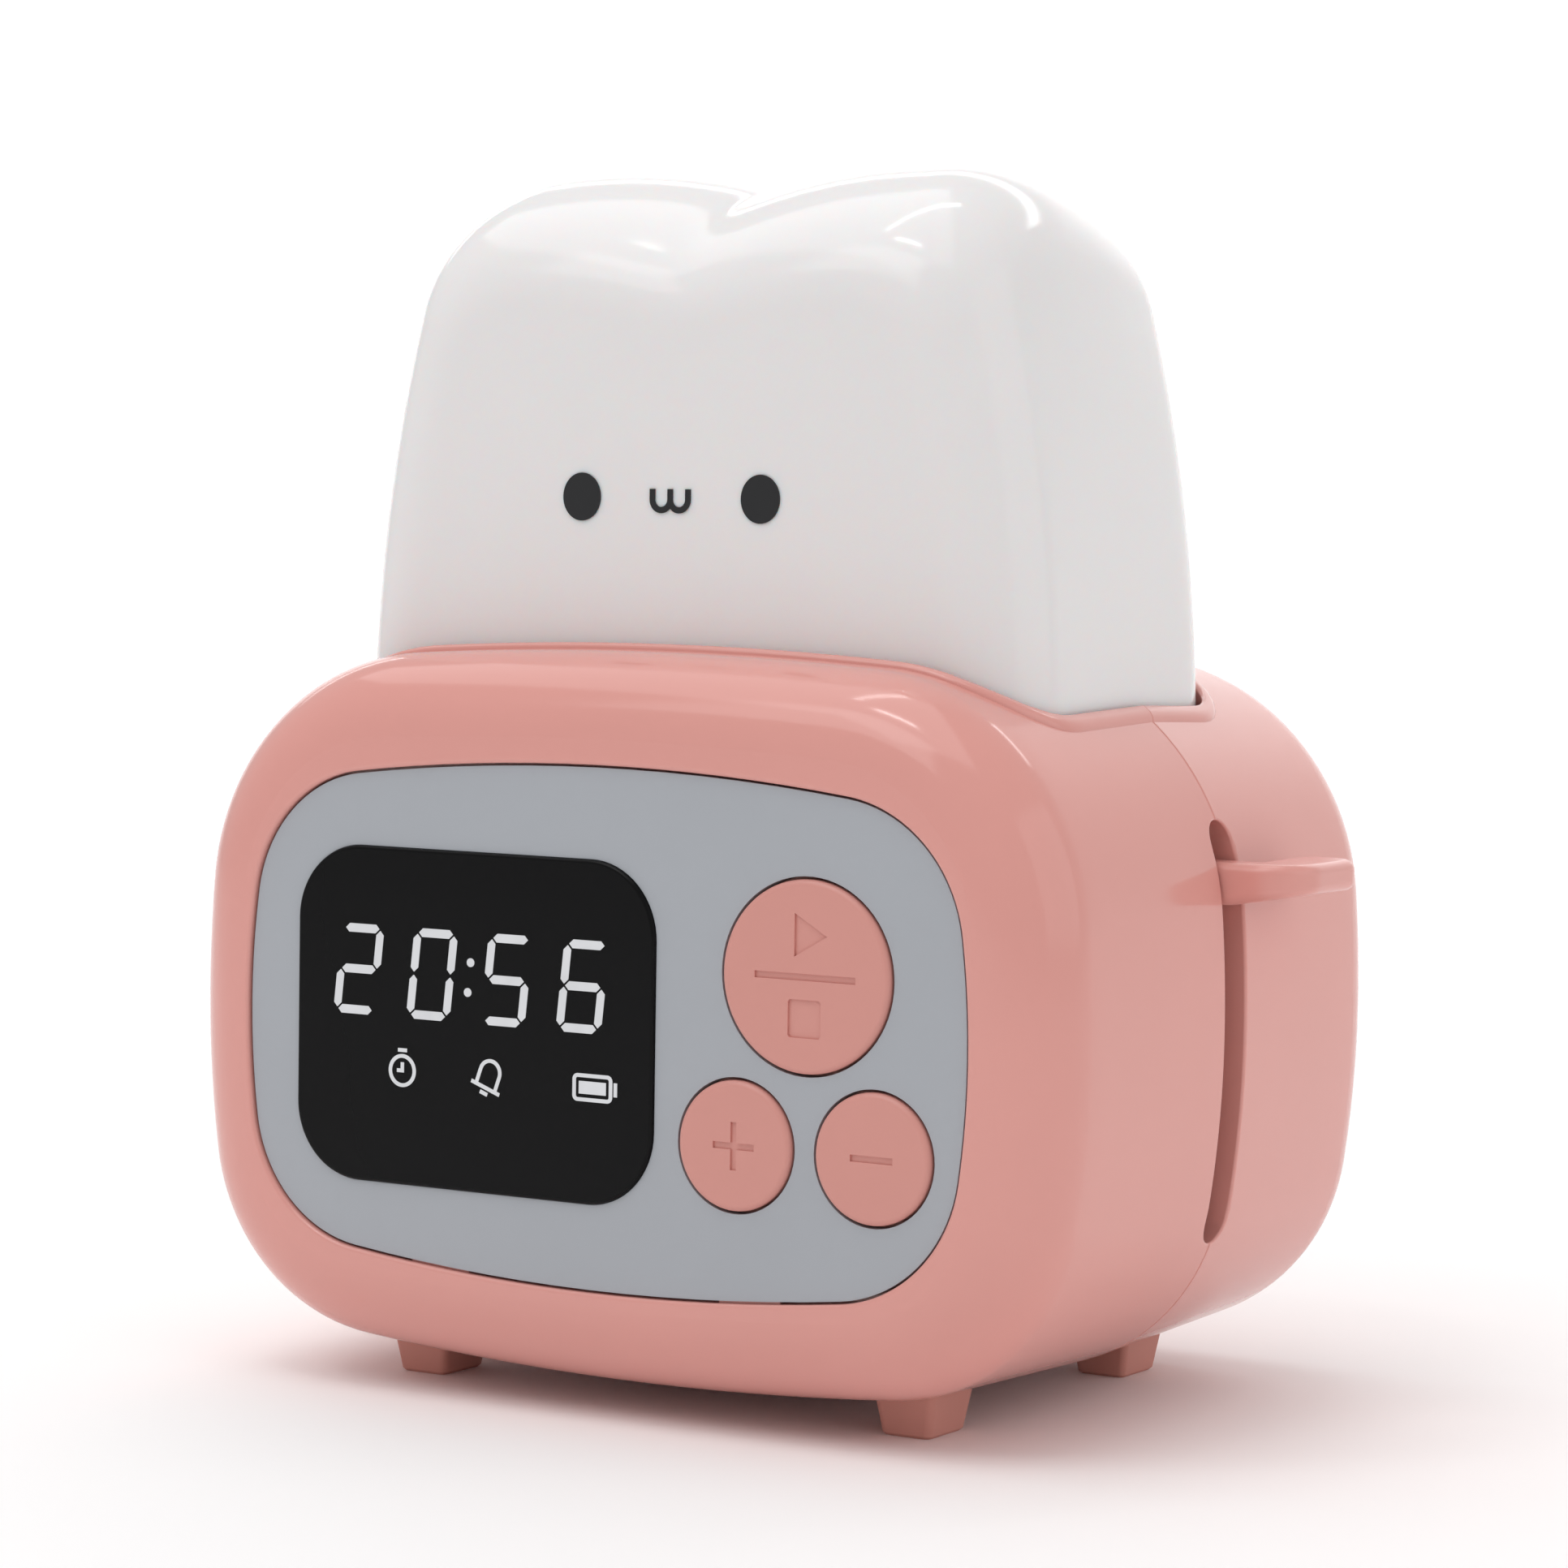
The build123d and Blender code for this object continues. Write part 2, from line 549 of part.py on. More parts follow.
def shell(side):
    """One half of the body: wall, collar, slot frame, rod seats and foot holes."""
    solid_body = half_body(0, side)
    half = solid_body - half_body(WALL, side)
    high = LAMP_TOP_Z
    collar = plan_frame(LAMP_GAP + COLLAR_W, (SKIRT_LOW_Z, high)) & half_body(-COLLAR_H, side)
    half = half + collar
    inside = half_body(WALL / 2, side)
    half = half + (slot_prism(SLOT_RIB_T, SLOT_RIB_X, BODY_HALF_W) & inside)
    for sx in (-1, 1):
        seat = pillar(sx * ROD_X, 0, ROD_BOSS_R, (0, ROD_BOSS_TOP_Z))
        half = half + (seat & inside)
        x = (sx * SIDE_CLEAR_X, sx * BODY_HALF_W)
        bracket = block(x, (-BRACKET_HALF_Y, BRACKET_HALF_Y), BRACKET_Z)
        half = half + (bracket & inside)
        half = half - pillar(sx * ROD_X, 0, ROD_R, (ROD_LOW_Z, ROD_TOP_Z))
        hole = pillar(sx * FOOT_X, side * FOOT_Y, FOOT_PEG_R + PRESS_GAP, (0, FOOT_PEG_TOP))
        half = half - hole
    half = half - plan_frame(LAMP_GAP, (BODY_CENTRE_Z, high))
    half = half - slot_prism(0, SLOT_RIB_X - OVER, BODY_HALF_W + OVER)
    return half


def case_bosses(side):
    """Bosses for the two long case screws, from the end wall to the parting plane."""
    inside = half_body(WALL / 2, side)
    y = (0, side * BODY_DEPTH / 2)
    bosses = []
    for sx in (-1, 1):
        x = sx * CASE_SCREW_X
        rib = block((x - CASE_RIB_T / 2, x + CASE_RIB_T / 2), y, (0, CASE_SCREW_Z - CASE_SCREW_R - WALL))
        bosses.append((barrel(x, CASE_SCREW_Z, CASE_BOSS_R, y) + rib) & inside)
    return bosses


def hook_arm(sx):
    """Cantilever of the front shell whose barb catches behind the rear shell's rod bracket."""
    x = tuple(sx * v for v in HOOK_ARM_X)
    tip_y = BRACKET_HALF_Y + HOOK_CLEAR + HOOK_BARB_T
    arm = block(x, (HOOK_ROOT_Y[0], tip_y), HOOK_ARM_Z)
    root = block((x[0], sx * BODY_HALF_W), HOOK_ROOT_Y, HOOK_ARM_Z) & half_body(WALL / 2, -1)
    barb = block(x, (tip_y - HOOK_BARB_T, tip_y), (HOOK_ARM_Z[0] - HOOK_BARB_DROP, HOOK_ARM_Z[1]))
    return arm + root + barb


def make_front_housing():
    housing = shell(-1)
    for boss in case_bosses(-1):
        housing = housing + boss
    pilot_y = CASE_SEAT_Y - CASE_SCREW_L - CASE_PILOT_EXTRA
    for sx in (-1, 1):
        pilot = barrel(sx * CASE_SCREW_X, CASE_SCREW_Z, CASE_SCREW_R + THREAD_GAP, (pilot_y, OVER))
        housing = housing - pilot + hook_arm(sx)
    housing = housing + panel_prism(-PANEL_RIM_W, LEDGE_BACK_Y, FRONT_Y + WALL / 2)
    housing = housing - panel_prism(-PANEL_GAP, PANEL_BACK_Y, FRONT_Y - OVER)
    housing = housing - panel_prism(PANEL_LEDGE_W, LEDGE_BACK_Y + OVER, FRONT_Y)
    for x, z in BOARD_POSTS:
        housing = housing + barrel(x, z, BOARD_POST_R, (PANEL_BACK_Y, BOARD_Y))
        pilot_y = (PANEL_BACK_Y + PILOT_ROOF, BOARD_Y + OVER)
        housing = housing - barrel(x, z, SMALL_SCREW_R + THREAD_GAP, pilot_y)
    for x, z in stake_places():
        housing = housing - barrel(x, z, STAKE_R + PRESS_GAP, (FRONT_Y, LEDGE_BACK_Y + OVER))
    return housing


def grille_places():
    """Hole centres in rings round the speaker's middle: 1, then 6, 12 and so on."""
    places = [(0.0, 0.0)]
    for ring in range(1, GRILLE_RINGS + 1):
        for step in range(6 * ring):
            places.append(on_circle((0, 0), ring * GRILLE_PITCH, 2 * math.pi * step / (6 * ring)))
    return places


def usb_sketch(grow):
    return RectangleRounded(USB_W + 2 * grow, USB_H + 2 * grow, USB_R + grow)


def usb_z():
    return POWER_BOARD_Z + POWER_BOARD_T + USB_H / 2


def make_rear_housing():
    housing = shell(1)
    inside = half_body(WALL / 2, 1)
    for boss in case_bosses(1):
        housing = housing + boss
    for sx in (-1, 1):
        x = sx * CASE_SCREW_X
        housing = housing - barrel(x, CASE_SCREW_Z, CASE_SINK_R, (CASE_SEAT_Y, REAR_Y + OVER))
        housing = housing - barrel(x, CASE_SCREW_Z, CASE_HOLE_R, (-OVER, REAR_Y))
        lug_x = (sx * SIDE_CLEAR_X, sx * BODY_HALF_W)
        lug_y = (SPRING_Y - SPRING_LUG_HALF_Y, SPRING_Y + SPRING_LUG_HALF_Y)
        lug_low = SPRING_TOP_Z + SPRING_END_GAP
        housing = housing + (block(lug_x, lug_y, (lug_low, lug_low + SPRING_LUG_T)) & inside)
        rail_x = (sx * (POWER_BOARD_HALF_W - RAIL_T), sx * POWER_BOARD_HALF_W)
        rail = block(rail_x, (POWER_BOARD_Y[0], REAR_Y), (POWER_BOARD_Z - RAIL_T, POWER_BOARD_Z))
        housing = housing + (rail & inside)
    seat = block((-LATCH_POST_HALF[0], LATCH_POST_HALF[0]),
                 (LATCH_Y - LATCH_POST_HALF[1], LATCH_Y + LATCH_POST_HALF[1]), (0, LATCH_LOW_Z))
    housing = housing + (seat & inside)
    for sz in (-1, 1):
        near = BATTERY_Z + sz * (BATTERY_SIZE[2] / 2 + BATTERY_RIB_GAP)
        rib_x = (BATTERY_X - BATTERY_SIZE[0] / 2, BATTERY_X + BATTERY_SIZE[0] / 2)
        rib_y = (BATTERY_BACK_Y - BATTERY_SIZE[1] / 2, REAR_Y)
        housing = housing + (block(rib_x, rib_y, (near, near + sz * BATTERY_RIB_T)) & inside)
    ring_y = (REAR_WALL_Y - GASKET_T - SPEAKER_T, REAR_Y)
    ring = barrel(SPEAKER_X, SPEAKER_Z, SPEAKER_R + SPEAKER_RING_GAP + SPEAKER_RING_T, ring_y) & inside
    ring = ring - barrel(SPEAKER_X, SPEAKER_Z, SPEAKER_R + SPEAKER_RING_GAP, (0, REAR_WALL_Y))
    housing = housing + ring
    through_y = (REAR_WALL_Y - OVER, REAR_Y + OVER)
    for dx, dz in grille_places():
        housing = housing - barrel(SPEAKER_X + dx, SPEAKER_Z + dz, GRILLE_HOLE_R, through_y)
    opening = forward(Pos(0, usb_z()) * usb_sketch(USB_OPENING_GAP), through_y[1], through_y[0])
    return housing - opening


def make_foot(sx, side):
    """Tapered block under the shell, with a peg pressed into the shell's hole."""
    height = FOOT_PEG_TOP
    low = RectangleRounded(*FOOT_SIZE, FOOT_CORNER_R)
    grown = [size + 2 * FOOT_TAPER * height for size in FOOT_SIZE]
    high = RectangleRounded(*grown, FOOT_CORNER_R)
    foot = loft([Plane.XY * low, Plane.XY.offset(height) * high])
    foot = chamfer(foot.edges().group_by(Axis.Z)[0], FOOT_CHAMFER)
    foot = Pos(sx * FOOT_X, side * FOOT_Y, 0) * foot
    foot = foot - half_body(0, side)
    peg = pillar(sx * FOOT_X, side * FOOT_Y, FOOT_PEG_R, (OVER, FOOT_PEG_TOP))
    return foot + peg


def make_case_screws():
    screws = []
    head_y = CASE_SEAT_Y + CASE_HEAD_T
    for sx in (-1, 1):
        x = sx * CASE_SCREW_X
        shank = barrel(x, CASE_SCREW_Z, CASE_SCREW_R, (CASE_SEAT_Y - CASE_SCREW_L, CASE_SEAT_Y))
        head = barrel(x, CASE_SCREW_Z, CASE_HEAD_R, (CASE_SEAT_Y, head_y))
        recess = barrel(x, CASE_SCREW_Z, SMALL_RECESS_R, (head_y - SMALL_RECESS_DEPTH, head_y + OVER))
        screws.append(shank + head - recess)
    return Compound(children=screws)


# ---------------------------------------------------------------- front panel and display
def stake_places():
    """Heat stakes of the panel, on the ledge above and below the display and the buttons."""
    crown_z = crown_centre(PANEL_HALF_W, PANEL_HALF_H, PANEL_CORNER)
    rise = crown_z + math.sqrt((PANEL_HALF_H - crown_z) ** 2 - STAKE_X**2) - STAKE_INSET
    return [(sx * STAKE_X, PANEL_Z + sz * rise) for sx in (-1, 1) for sz in (-1, 1)]


def window_sketch(grow):
    shape = RectangleRounded(WINDOW_W + 2 * grow, WINDOW_H + 2 * grow, WINDOW_R + grow)
    return Pos(WINDOW_X, WINDOW_Z) * shape


def make_front_panel():
    panel = panel_prism(0, PANEL_BACK_Y, PANEL_FRONT_Y)
    panel = panel - forward(window_sketch(WINDOW_GAP), WINDOW_BACK_Y, PANEL_FRONT_Y - OVER)
    through_y = (PANEL_FRONT_Y - OVER, PANEL_BACK_Y + OVER)
    panel = panel - forward(window_sketch(-WINDOW_LEDGE_W), through_y[1], through_y[0])
    for x, z, radius in BUTTONS.values():
        panel = panel - barrel(x, z, radius + BUTTON_GAP, through_y)
    for x, z in stake_places():
        panel = panel + barrel(x, z, STAKE_R, (PANEL_BACK_Y - WELD, LEDGE_BACK_Y + STAKE_HEAD))
    return panel


def make_display_window():
    window = forward(window_sketch(0), WINDOW_BACK_Y, WINDOW_FRONT_Y)
    rim = window.faces().sort_by(Axis.Y)[0].edges()
    return fillet(rim, WINDOW_EDGE_R)


def make_display_module():
    sketch = Pos(WINDOW_X, WINDOW_Z) * RectangleRounded(MODULE_W, MODULE_H, MODULE_CORNER_R)
    return forward(sketch, BOARD_Y, WINDOW_BACK_Y + MODULE_GAP)


def bar(start, end, width):
    """Straight stroke with pointed ends, as a lit segment has."""
    dx, dz = end[0] - start[0], end[1] - start[1]
    length = math.hypot(dx, dz)
    ux, uz = dx / length, dz / length
    h = width / 2
    across = (-uz * h, ux * h)
    inner_a = (start[0] + ux * h, start[1] + uz * h)
    inner_b = (end[0] - ux * h, end[1] - uz * h)
    return [
        start,
        (inner_a[0] + across[0], inner_a[1] + across[1]),
        (inner_b[0] + across[0], inner_b[1] + across[1]),
        end,
        (inner_b[0] - across[0], inner_b[1] - across[1]),
        (inner_a[0] - across[0], inner_a[1] - across[1]),
    ]


def lean(point, centre):
    """A point of an upright digit, leant to the right about the digit's middle."""
    x, z = point
    return (centre[0] + x + z * math.tan(math.radians(DIGIT_LEAN_DEG)), centre[1] + z)


def digit_solids(number, centre):
    """The lit segments of one seven-segment digit."""
    w, h, g = DIGIT_W / 2, DIGIT_H / 2, DIGIT_SPLIT
    inner = h - DIGIT_STROKE / 2
    side = w - DIGIT_STROKE / 2
    ends = {
        "a": ((-side + g, inner), (side - g, inner)),
        "b": ((side, g), (side, inner - g)),
        "c": ((side, -inner + g), (side, -g)),
        "d": ((-side + g, -inner), (side - g, -inner)),
        "e": ((-side, -inner + g), (-side, -g)),
        "f": ((-side, g), (-side, inner - g)),
        "g": ((-side + g, 0), (side - g, 0)),
    }
    lit = {0: "abcdef", 2: "abged", 5: "afgcd", 6: "afgedc"}[number]
    solids = []
    for name in lit:
        outline = [lean(p, centre) for p in bar(*ends[name], DIGIT_STROKE)]
        solids.append(film(make_face(Polyline(*outline, close=True))))
    return solids


def film(sketch):
    """A thin lit shape on the window's face."""
    return forward(sketch, WINDOW_FRONT_Y, WINDOW_FRONT_Y - FILM_T)


def make_time_digits():
    """Eight fifty-six in the evening, as a clock shows it over twenty-four hours."""
    solids = []
    for place, number in zip((-1.5, -0.5, 0.5, 1.5), (2, 0, 5, 6)):
        solids += digit_solids(number, (DIGIT_X + place * DIGIT_PITCH, DIGIT_Z))
    for rise in (COLON_RISE, -COLON_RISE):
        x, z = lean((0, rise), (DIGIT_X, DIGIT_Z))
        solids.append(film(Pos(x, z) * Circle(DIGIT_STROKE / 2)))
    return Compound(children=solids)


def timer_icon():
    """Round stopwatch with a crown and two hands."""
    line = ICON_STROKE
    ring = Circle(TIMER_ICON_R) - Circle(TIMER_ICON_R - line)
    crown = Pos(0, TIMER_ICON_R + ICON_GAP + line / 2) * Rectangle(TIMER_CROWN_W, line)
    reach = TIMER_ICON_R / 2
    hands = Pos(0, reach / 2) * Rectangle(line, reach)
    hands = hands + Pos((line - reach) / 2, 0) * Rectangle(reach, line)
    return [ring, crown, hands]


def bell_icon():
    """Tilted bell with a brim and a clapper."""
    line = ICON_STROKE
    radius = BELL_ICON_W / 2
    skirt_h = BELL_ICON_H - radius
    dome = Circle(radius) + Pos(0, -skirt_h / 2) * Rectangle(BELL_ICON_W, skirt_h)
    hollow_w = BELL_ICON_W - 2 * line
    hollow = Circle(radius - line) + Pos(0, -skirt_h / 2) * Rectangle(hollow_w, skirt_h)
    brim = Pos(0, -skirt_h) * Rectangle(BELL_ICON_W + BELL_ICON_BRIM, line)
    clapper = Pos(0, -skirt_h - line - ICON_GAP) * Rectangle(BELL_ICON_W / 3, line)
    return [dome - hollow + brim, clapper]


def battery_icon():
    """Full battery lying on its side."""
    line = ICON_STROKE
    w, h = BATTERY_ICON_W, BATTERY_ICON_H
    hollow = RectangleRounded(w - 2 * line, h - 2 * line, BATTERY_ICON_R - line)
    case = RectangleRounded(w, h, BATTERY_ICON_R) - hollow
    margin = 2 * (line + BATTERY_ICON_GAP)
    charge = Rectangle(w - margin, h - margin)
    nub = Pos(w / 2 + line, 0) * Rectangle(line, h / 2)
    return [case, charge, nub]


def make_status_icons():
    """Stopwatch, bell and battery, as any clock's display has."""
    placed = [
        (TIMER_ICON_SHIFT, 0, 0, timer_icon()),
        (BELL_ICON_SHIFT, BELL_ICON_RISE, BELL_ICON_TILT, bell_icon()),
        (BATTERY_ICON_SHIFT, 0, 0, battery_icon()),
    ]
    solids = []
    for shift, rise, tilt, shapes in placed:
        for sketch in shapes:
            solids.append(film(Pos(WINDOW_X + shift, ICON_Z + rise) * Rot(0, 0, tilt) * sketch))
    return Compound(children=solids)


# ---------------------------------------------------------------- buttons
def button_mark(name):
    """Engraved mark: start over stop on the large button, more and less on the small ones."""
    if name == "start_stop":
        start = Pos(0, MARK_RISE) * RegularPolygon(MARK_START_R, 3)
        line = Rectangle(MARK_LINE_W, ENGRAVE_LINE)
        stop = Pos(0, -MARK_RISE) * RectangleRounded(MARK_STOP_W, MARK_STOP_W, ENGRAVE_LINE / 2)
        return [start, line, stop]
    less = Rectangle(MARK_SIGN_W, ENGRAVE_LINE)
    if name == "minute":
        return [less + Rectangle(ENGRAVE_LINE, MARK_SIGN_W)]
    return [less]


def make_button(name):
    x, z, radius = BUTTONS[name]
    cap = barrel(x, z, radius, (BUTTON_FRONT_Y, FLANGE_BACK_Y))
    cap = fillet(cap.faces().sort_by(Axis.Y)[0].edges(), BUTTON_EDGE_R)
    hollow = barrel(x, z, radius - BUTTON_WALL, (BUTTON_FRONT_Y + BUTTON_WALL, FLANGE_BACK_Y + OVER))
    stem = barrel(x, z, BUTTON_STEM_R, (BUTTON_FRONT_Y + BUTTON_WALL / 2, FLANGE_BACK_Y))
    flange = barrel(x, z, radius + BUTTON_FLANGE_W, (FLANGE_FRONT_Y, FLANGE_BACK_Y))
    flange = flange - barrel(x, z, radius - BUTTON_WALL, (FLANGE_FRONT_Y - OVER, FLANGE_BACK_Y + OVER))
    cap = (cap - hollow) + stem + flange
    for sketch in button_mark(name):
        cap = cap - forward(Pos(x, z) * sketch, BUTTON_FRONT_Y + ENGRAVE_DEPTH, BUTTON_FRONT_Y - OVER)
    return cap


def make_plunger(name):
    x, z, _ = BUTTONS[name]
    return barrel(x, z, PLUNGER_R, (FLANGE_BACK_Y, SWITCH_FRONT_Y + PLUNGER_SEAT))


def make_button_switches():
    switches = []
    for x, z, _ in BUTTONS.values():
        half = SWITCH_SIZE / 2
        case = block((x - half, x + half), (SWITCH_FRONT_Y, BOARD_Y), (z - half, z + half))
        well_end = SWITCH_FRONT_Y + PLUNGER_SEAT + BUTTON_TRAVEL + PLUNGER_END_GAP
        well_y = (SWITCH_FRONT_Y - OVER, well_end)
        switches.append(case - barrel(x, z, PLUNGER_R + PLUNGER_GAP, well_y))
    return Compound(children=switches)


# ---------------------------------------------------------------- main board
def make_main_board():
    sketch = Pos(0, PANEL_Z) * RectangleRounded(2 * BOARD_HALF_W, 2 * BOARD_HALF_H, BOARD_CORNER_R)
    board = forward(sketch, BOARD_Y + BOARD_T, BOARD_Y)
    for x, z in BOARD_POSTS:
        board = board - barrel(x, z, SMALL_SCREW_HOLE_R, (BOARD_Y - OVER, BOARD_Y + BOARD_T + OVER))
    return board


def small_screw(length):
    """Pan-head screw pointing down, with the underside of its head at the origin."""
    shank = Pos(0, 0, -length / 2) * Cylinder(SMALL_SCREW_R, length)
    head = Pos(0, 0, SMALL_HEAD_T / 2) * Cylinder(SMALL_HEAD_R, SMALL_HEAD_T)
    head = fillet(head.faces().sort_by(Axis.Z)[-1].edges(), SMALL_HEAD_T / 3)
    recess = Pos(0, 0, SMALL_HEAD_T) * Cylinder(SMALL_RECESS_R, 2 * SMALL_RECESS_DEPTH)
    return shank + head - recess


def make_board_screws():
    seat = BOARD_Y + BOARD_T
    length = seat - (PANEL_BACK_Y + PILOT_ROOF + SCREW_END_GAP)
    screws = [Pos(x, seat, z) * Rot(-90, 0, 0) * small_screw(length) for x, z in BOARD_POSTS]
    return Compound(children=screws)


def make_board_chips():
    """Clock chip, driver chip and sounder driver on the board's back."""
    back = BOARD_Y + BOARD_T
    chips = []
    for x, rise, w, h, t in CHIPS:
        z = PANEL_Z + rise
        chips.append(block((x - w / 2, x + w / 2), (back, back + t), (z - h / 2, z + h / 2)))
    return Compound(children=chips)


# ---------------------------------------------------------------- lamp
def fall(radius, depth):
    """How far a rounded edge of this radius has dropped, this deep inside its face."""
    if depth >= radius:
        return 0.0
    return radius - math.sqrt(radius**2 - (radius - depth) ** 2)


def lamp_wire(y, depth, wall, skirt):
    """Bread outline at one y: side, shoulder and lobe on each half, over a straight base."""
    side_drop = fall(LAMP_SIDE_EDGE - wall, depth)
    top_drop = fall(LAMP_TOP_EDGE - wall, depth)
    half_w = LAMP_HALF_W - wall - side_drop
    top = LAMP_TOP_Z - wall - top_drop
    valley = LAMP_VALLEY_Z - wall - fall(LAMP_VALLEY_EDGE - wall, depth)
    shoulder = LAMP_SHOULDER_R - wall - LAMP_SHOULDER_SHRINK * (side_drop + top_drop)
    side_x = half_w - LAMP_SIDE_R
    rise = top - shoulder - LAMP_BASE_Z
    lobe_x = side_x + math.sqrt((LAMP_SIDE_R - shoulder) ** 2 - rise**2)
    side_end = math.atan2(rise, lobe_x - side_x)
    dip = top - valley
    lobe_r = (lobe_x**2 + dip**2) / (2 * dip)
    valley_at = math.atan2(valley - (top - lobe_r), -lobe_x)
    right = [
        arc((side_x, LAMP_BASE_Z), LAMP_SIDE_R, 0, side_end),
        arc((lobe_x, top - shoulder), shoulder, side_end, math.pi / 2),
        arc((lobe_x, top - lobe_r), lobe_r, math.pi / 2, valley_at),
    ]
    left = [flipped(a, -1, 1) for a in reversed(right)]
    corner = [(half_w, LAMP_BASE_Z), (half_w, LAMP_BASE_Z - skirt)]
    floor = [(-half_w, corner[-1][1]), (half_w, corner[-1][1])]
    if skirt:
        return wire_of([floor, corner[::-1], *right, *left, [(-x, z) for x, z in corner]], y, 0)
    return wire_of([floor, *right, *left], y, 0)


def lamp_solid(wall, skirt):
    """Lofted bread form, moved inwards by wall."""
    half_d = LAMP_HALF_D - wall
    reach = LAMP_VALLEY_EDGE - wall
    depths = [reach * (1 - math.cos(math.radians(a))) for a in LAMP_STATIONS]
    stations = [(d - half_d, d) for d in depths] + [(half_d - d, d) for d in reversed(depths)]
    wires = [lamp_wire(LAMP_Y + y, d, wall, skirt) for y, d in stations]
    return Solid.make_loft(wires, ruled=True)


def make_lamp_shade():
    return lamp_solid(0, 0) - lamp_solid(LAMP_WALL, 1.0)


def make_face_print():
    """Two oval eyes and a small double-curved mouth, printed on the lamp's front."""
    solids = []
    for sx in (-1, 1):
        eye = Pos(sx * EYE_X, FACE_Z) * Ellipse(EYE_W / 2, EYE_H / 2)
        solids.append(forward(eye, LAMP_FRONT_Y, LAMP_FRONT_Y - PRINT_T))
    outer_r = MOUTH_W / 4 + MOUTH_LINE / 4
    inner_r = outer_r - MOUTH_LINE
    offset = outer_r - MOUTH_LINE / 2
    low_z = FACE_Z - MOUTH_DROP - MOUTH_H / 2 + outer_r
    arm = MOUTH_H - outer_r
    cup = Circle(outer_r) - Circle(inner_r) - Pos(0, outer_r) * Rectangle(2 * outer_r, 2 * outer_r)
    mouth = Pos(-offset, low_z) * cup + Pos(offset, low_z) * cup
    for x in (-2 * offset, 0, 2 * offset):
        mouth = mouth + Pos(x, low_z + arm / 2) * Rectangle(MOUTH_LINE, arm)
    solids.append(forward(mouth, LAMP_FRONT_Y, LAMP_FRONT_Y - PRINT_T))
    return Compound(children=solids)


def lamp_screw_places():
    across, along = LAMP_SCREW
    return [(sx * across, LAMP_Y + sy * along) for sx in (-1, 1) for sy in (-1, 1)]


def make_lamp_base():
    flange = plan_frame(0, (BASE_LOW_Z, LAMP_BASE_Z))
    plug = plan_frame(-LAMP_WALL - BASE_PLUG_GAP, (LAMP_BASE_Z, BASE_TOP_Z))
    well = plan_frame(-2 * LAMP_WALL - BASE_PLUG_GAP, (LAMP_BASE_Z, BASE_TOP_Z + OVER))
    base = flange + (plug - well)
    for x, y in lamp_screw_places():
        base = base + pillar(x, y, LAMP_BOSS_R, (LAMP_BASE_Z - OVER, BASE_TOP_Z))
        pilot_z = (BASE_LOW_Z - OVER, BASE_TOP_Z - PILOT_ROOF)
        base = base - pillar(x, y, SMALL_SCREW_R + THREAD_GAP, pilot_z)
    for x, y in led_post_places():
        base = base + pillar(x, y, LED_POST_R, (LAMP_BASE_Z - OVER, LED_BOARD_Z))
    return base


def led_post_places():
    return [(sx * LED_POST_X, LAMP_Y) for sx in (-1, 1)]


def make_led_board():
    x, y = LED_BOARD_HALF
    sketch = Pos(0, LAMP_Y) * RectangleRounded(2 * x, 2 * y, LED_BOARD_CORNER_R)
    return upward(sketch, (LED_BOARD_Z, LED_BOARD_Z + LED_BOARD_T))


def make_lamp_leds():
    low = LED_BOARD_Z + LED_BOARD_T
    leds = []
    for column in range(LED_COLUMNS):
        for row in range(LED_ROWS):
            x = (column - (LED_COLUMNS - 1) / 2) * LED_PITCH[0]
            y = LAMP_Y + (row - (LED_ROWS - 1) / 2) * LED_PITCH[1]
            half = LED_SIZE / 2
            package = block((x - half, x + half), (y - half, y + half), (low, low + LED_T))
            well_z = (low + LED_T - LED_WELL_DEPTH, low + LED_T + OVER)
            leds.append(package - pillar(x, y, LED_WELL_R, well_z))
    return Compound(children=leds)


def make_lamp_screws():
    screw = Rot(180, 0, 0) * small_screw(BASE_TOP_Z - PILOT_ROOF - SCREW_END_GAP - CARRIAGE_LOW_Z)
    return Compound(children=[Pos(x, y, CARRIAGE_LOW_Z) * screw for x, y in lamp_screw_places()])


# ---------------------------------------------------------------- lift
def make_lift_carriage():
    half_x, half_y = CARRIAGE_HALF
    sketch = Pos(0, LAMP_Y) * RectangleRounded(2 * half_x, 2 * half_y, CARRIAGE_CORNER_R)
    carriage = upward(sketch, (CARRIAGE_LOW_Z, BASE_LOW_Z))
    for sx in (-1, 1):
        carriage = carriage + end_plate(sx)
    arm_half = LEVER_ARM / 2
    arm_z = (LEVER_MID_Z - arm_half, LEVER_MID_Z + arm_half)
    carriage = carriage + block((ROD_X, LEVER_ARM_END_X), (-arm_half, arm_half), arm_z)
    for sx in (-1, 1):
        bore_z = (SLEEVE_Z[0] - OVER, SLEEVE_Z[1] + OVER)
        carriage = carriage - pillar(sx * ROD_X, 0, ROD_R + ROD_GAP, bore_z)
    for x, y in lamp_screw_places():
        hole_z = (CARRIAGE_LOW_Z - OVER, BASE_LOW_Z + OVER)
        carriage = carriage - pillar(x, y, SMALL_SCREW_HOLE_R, hole_z)
    return carriage


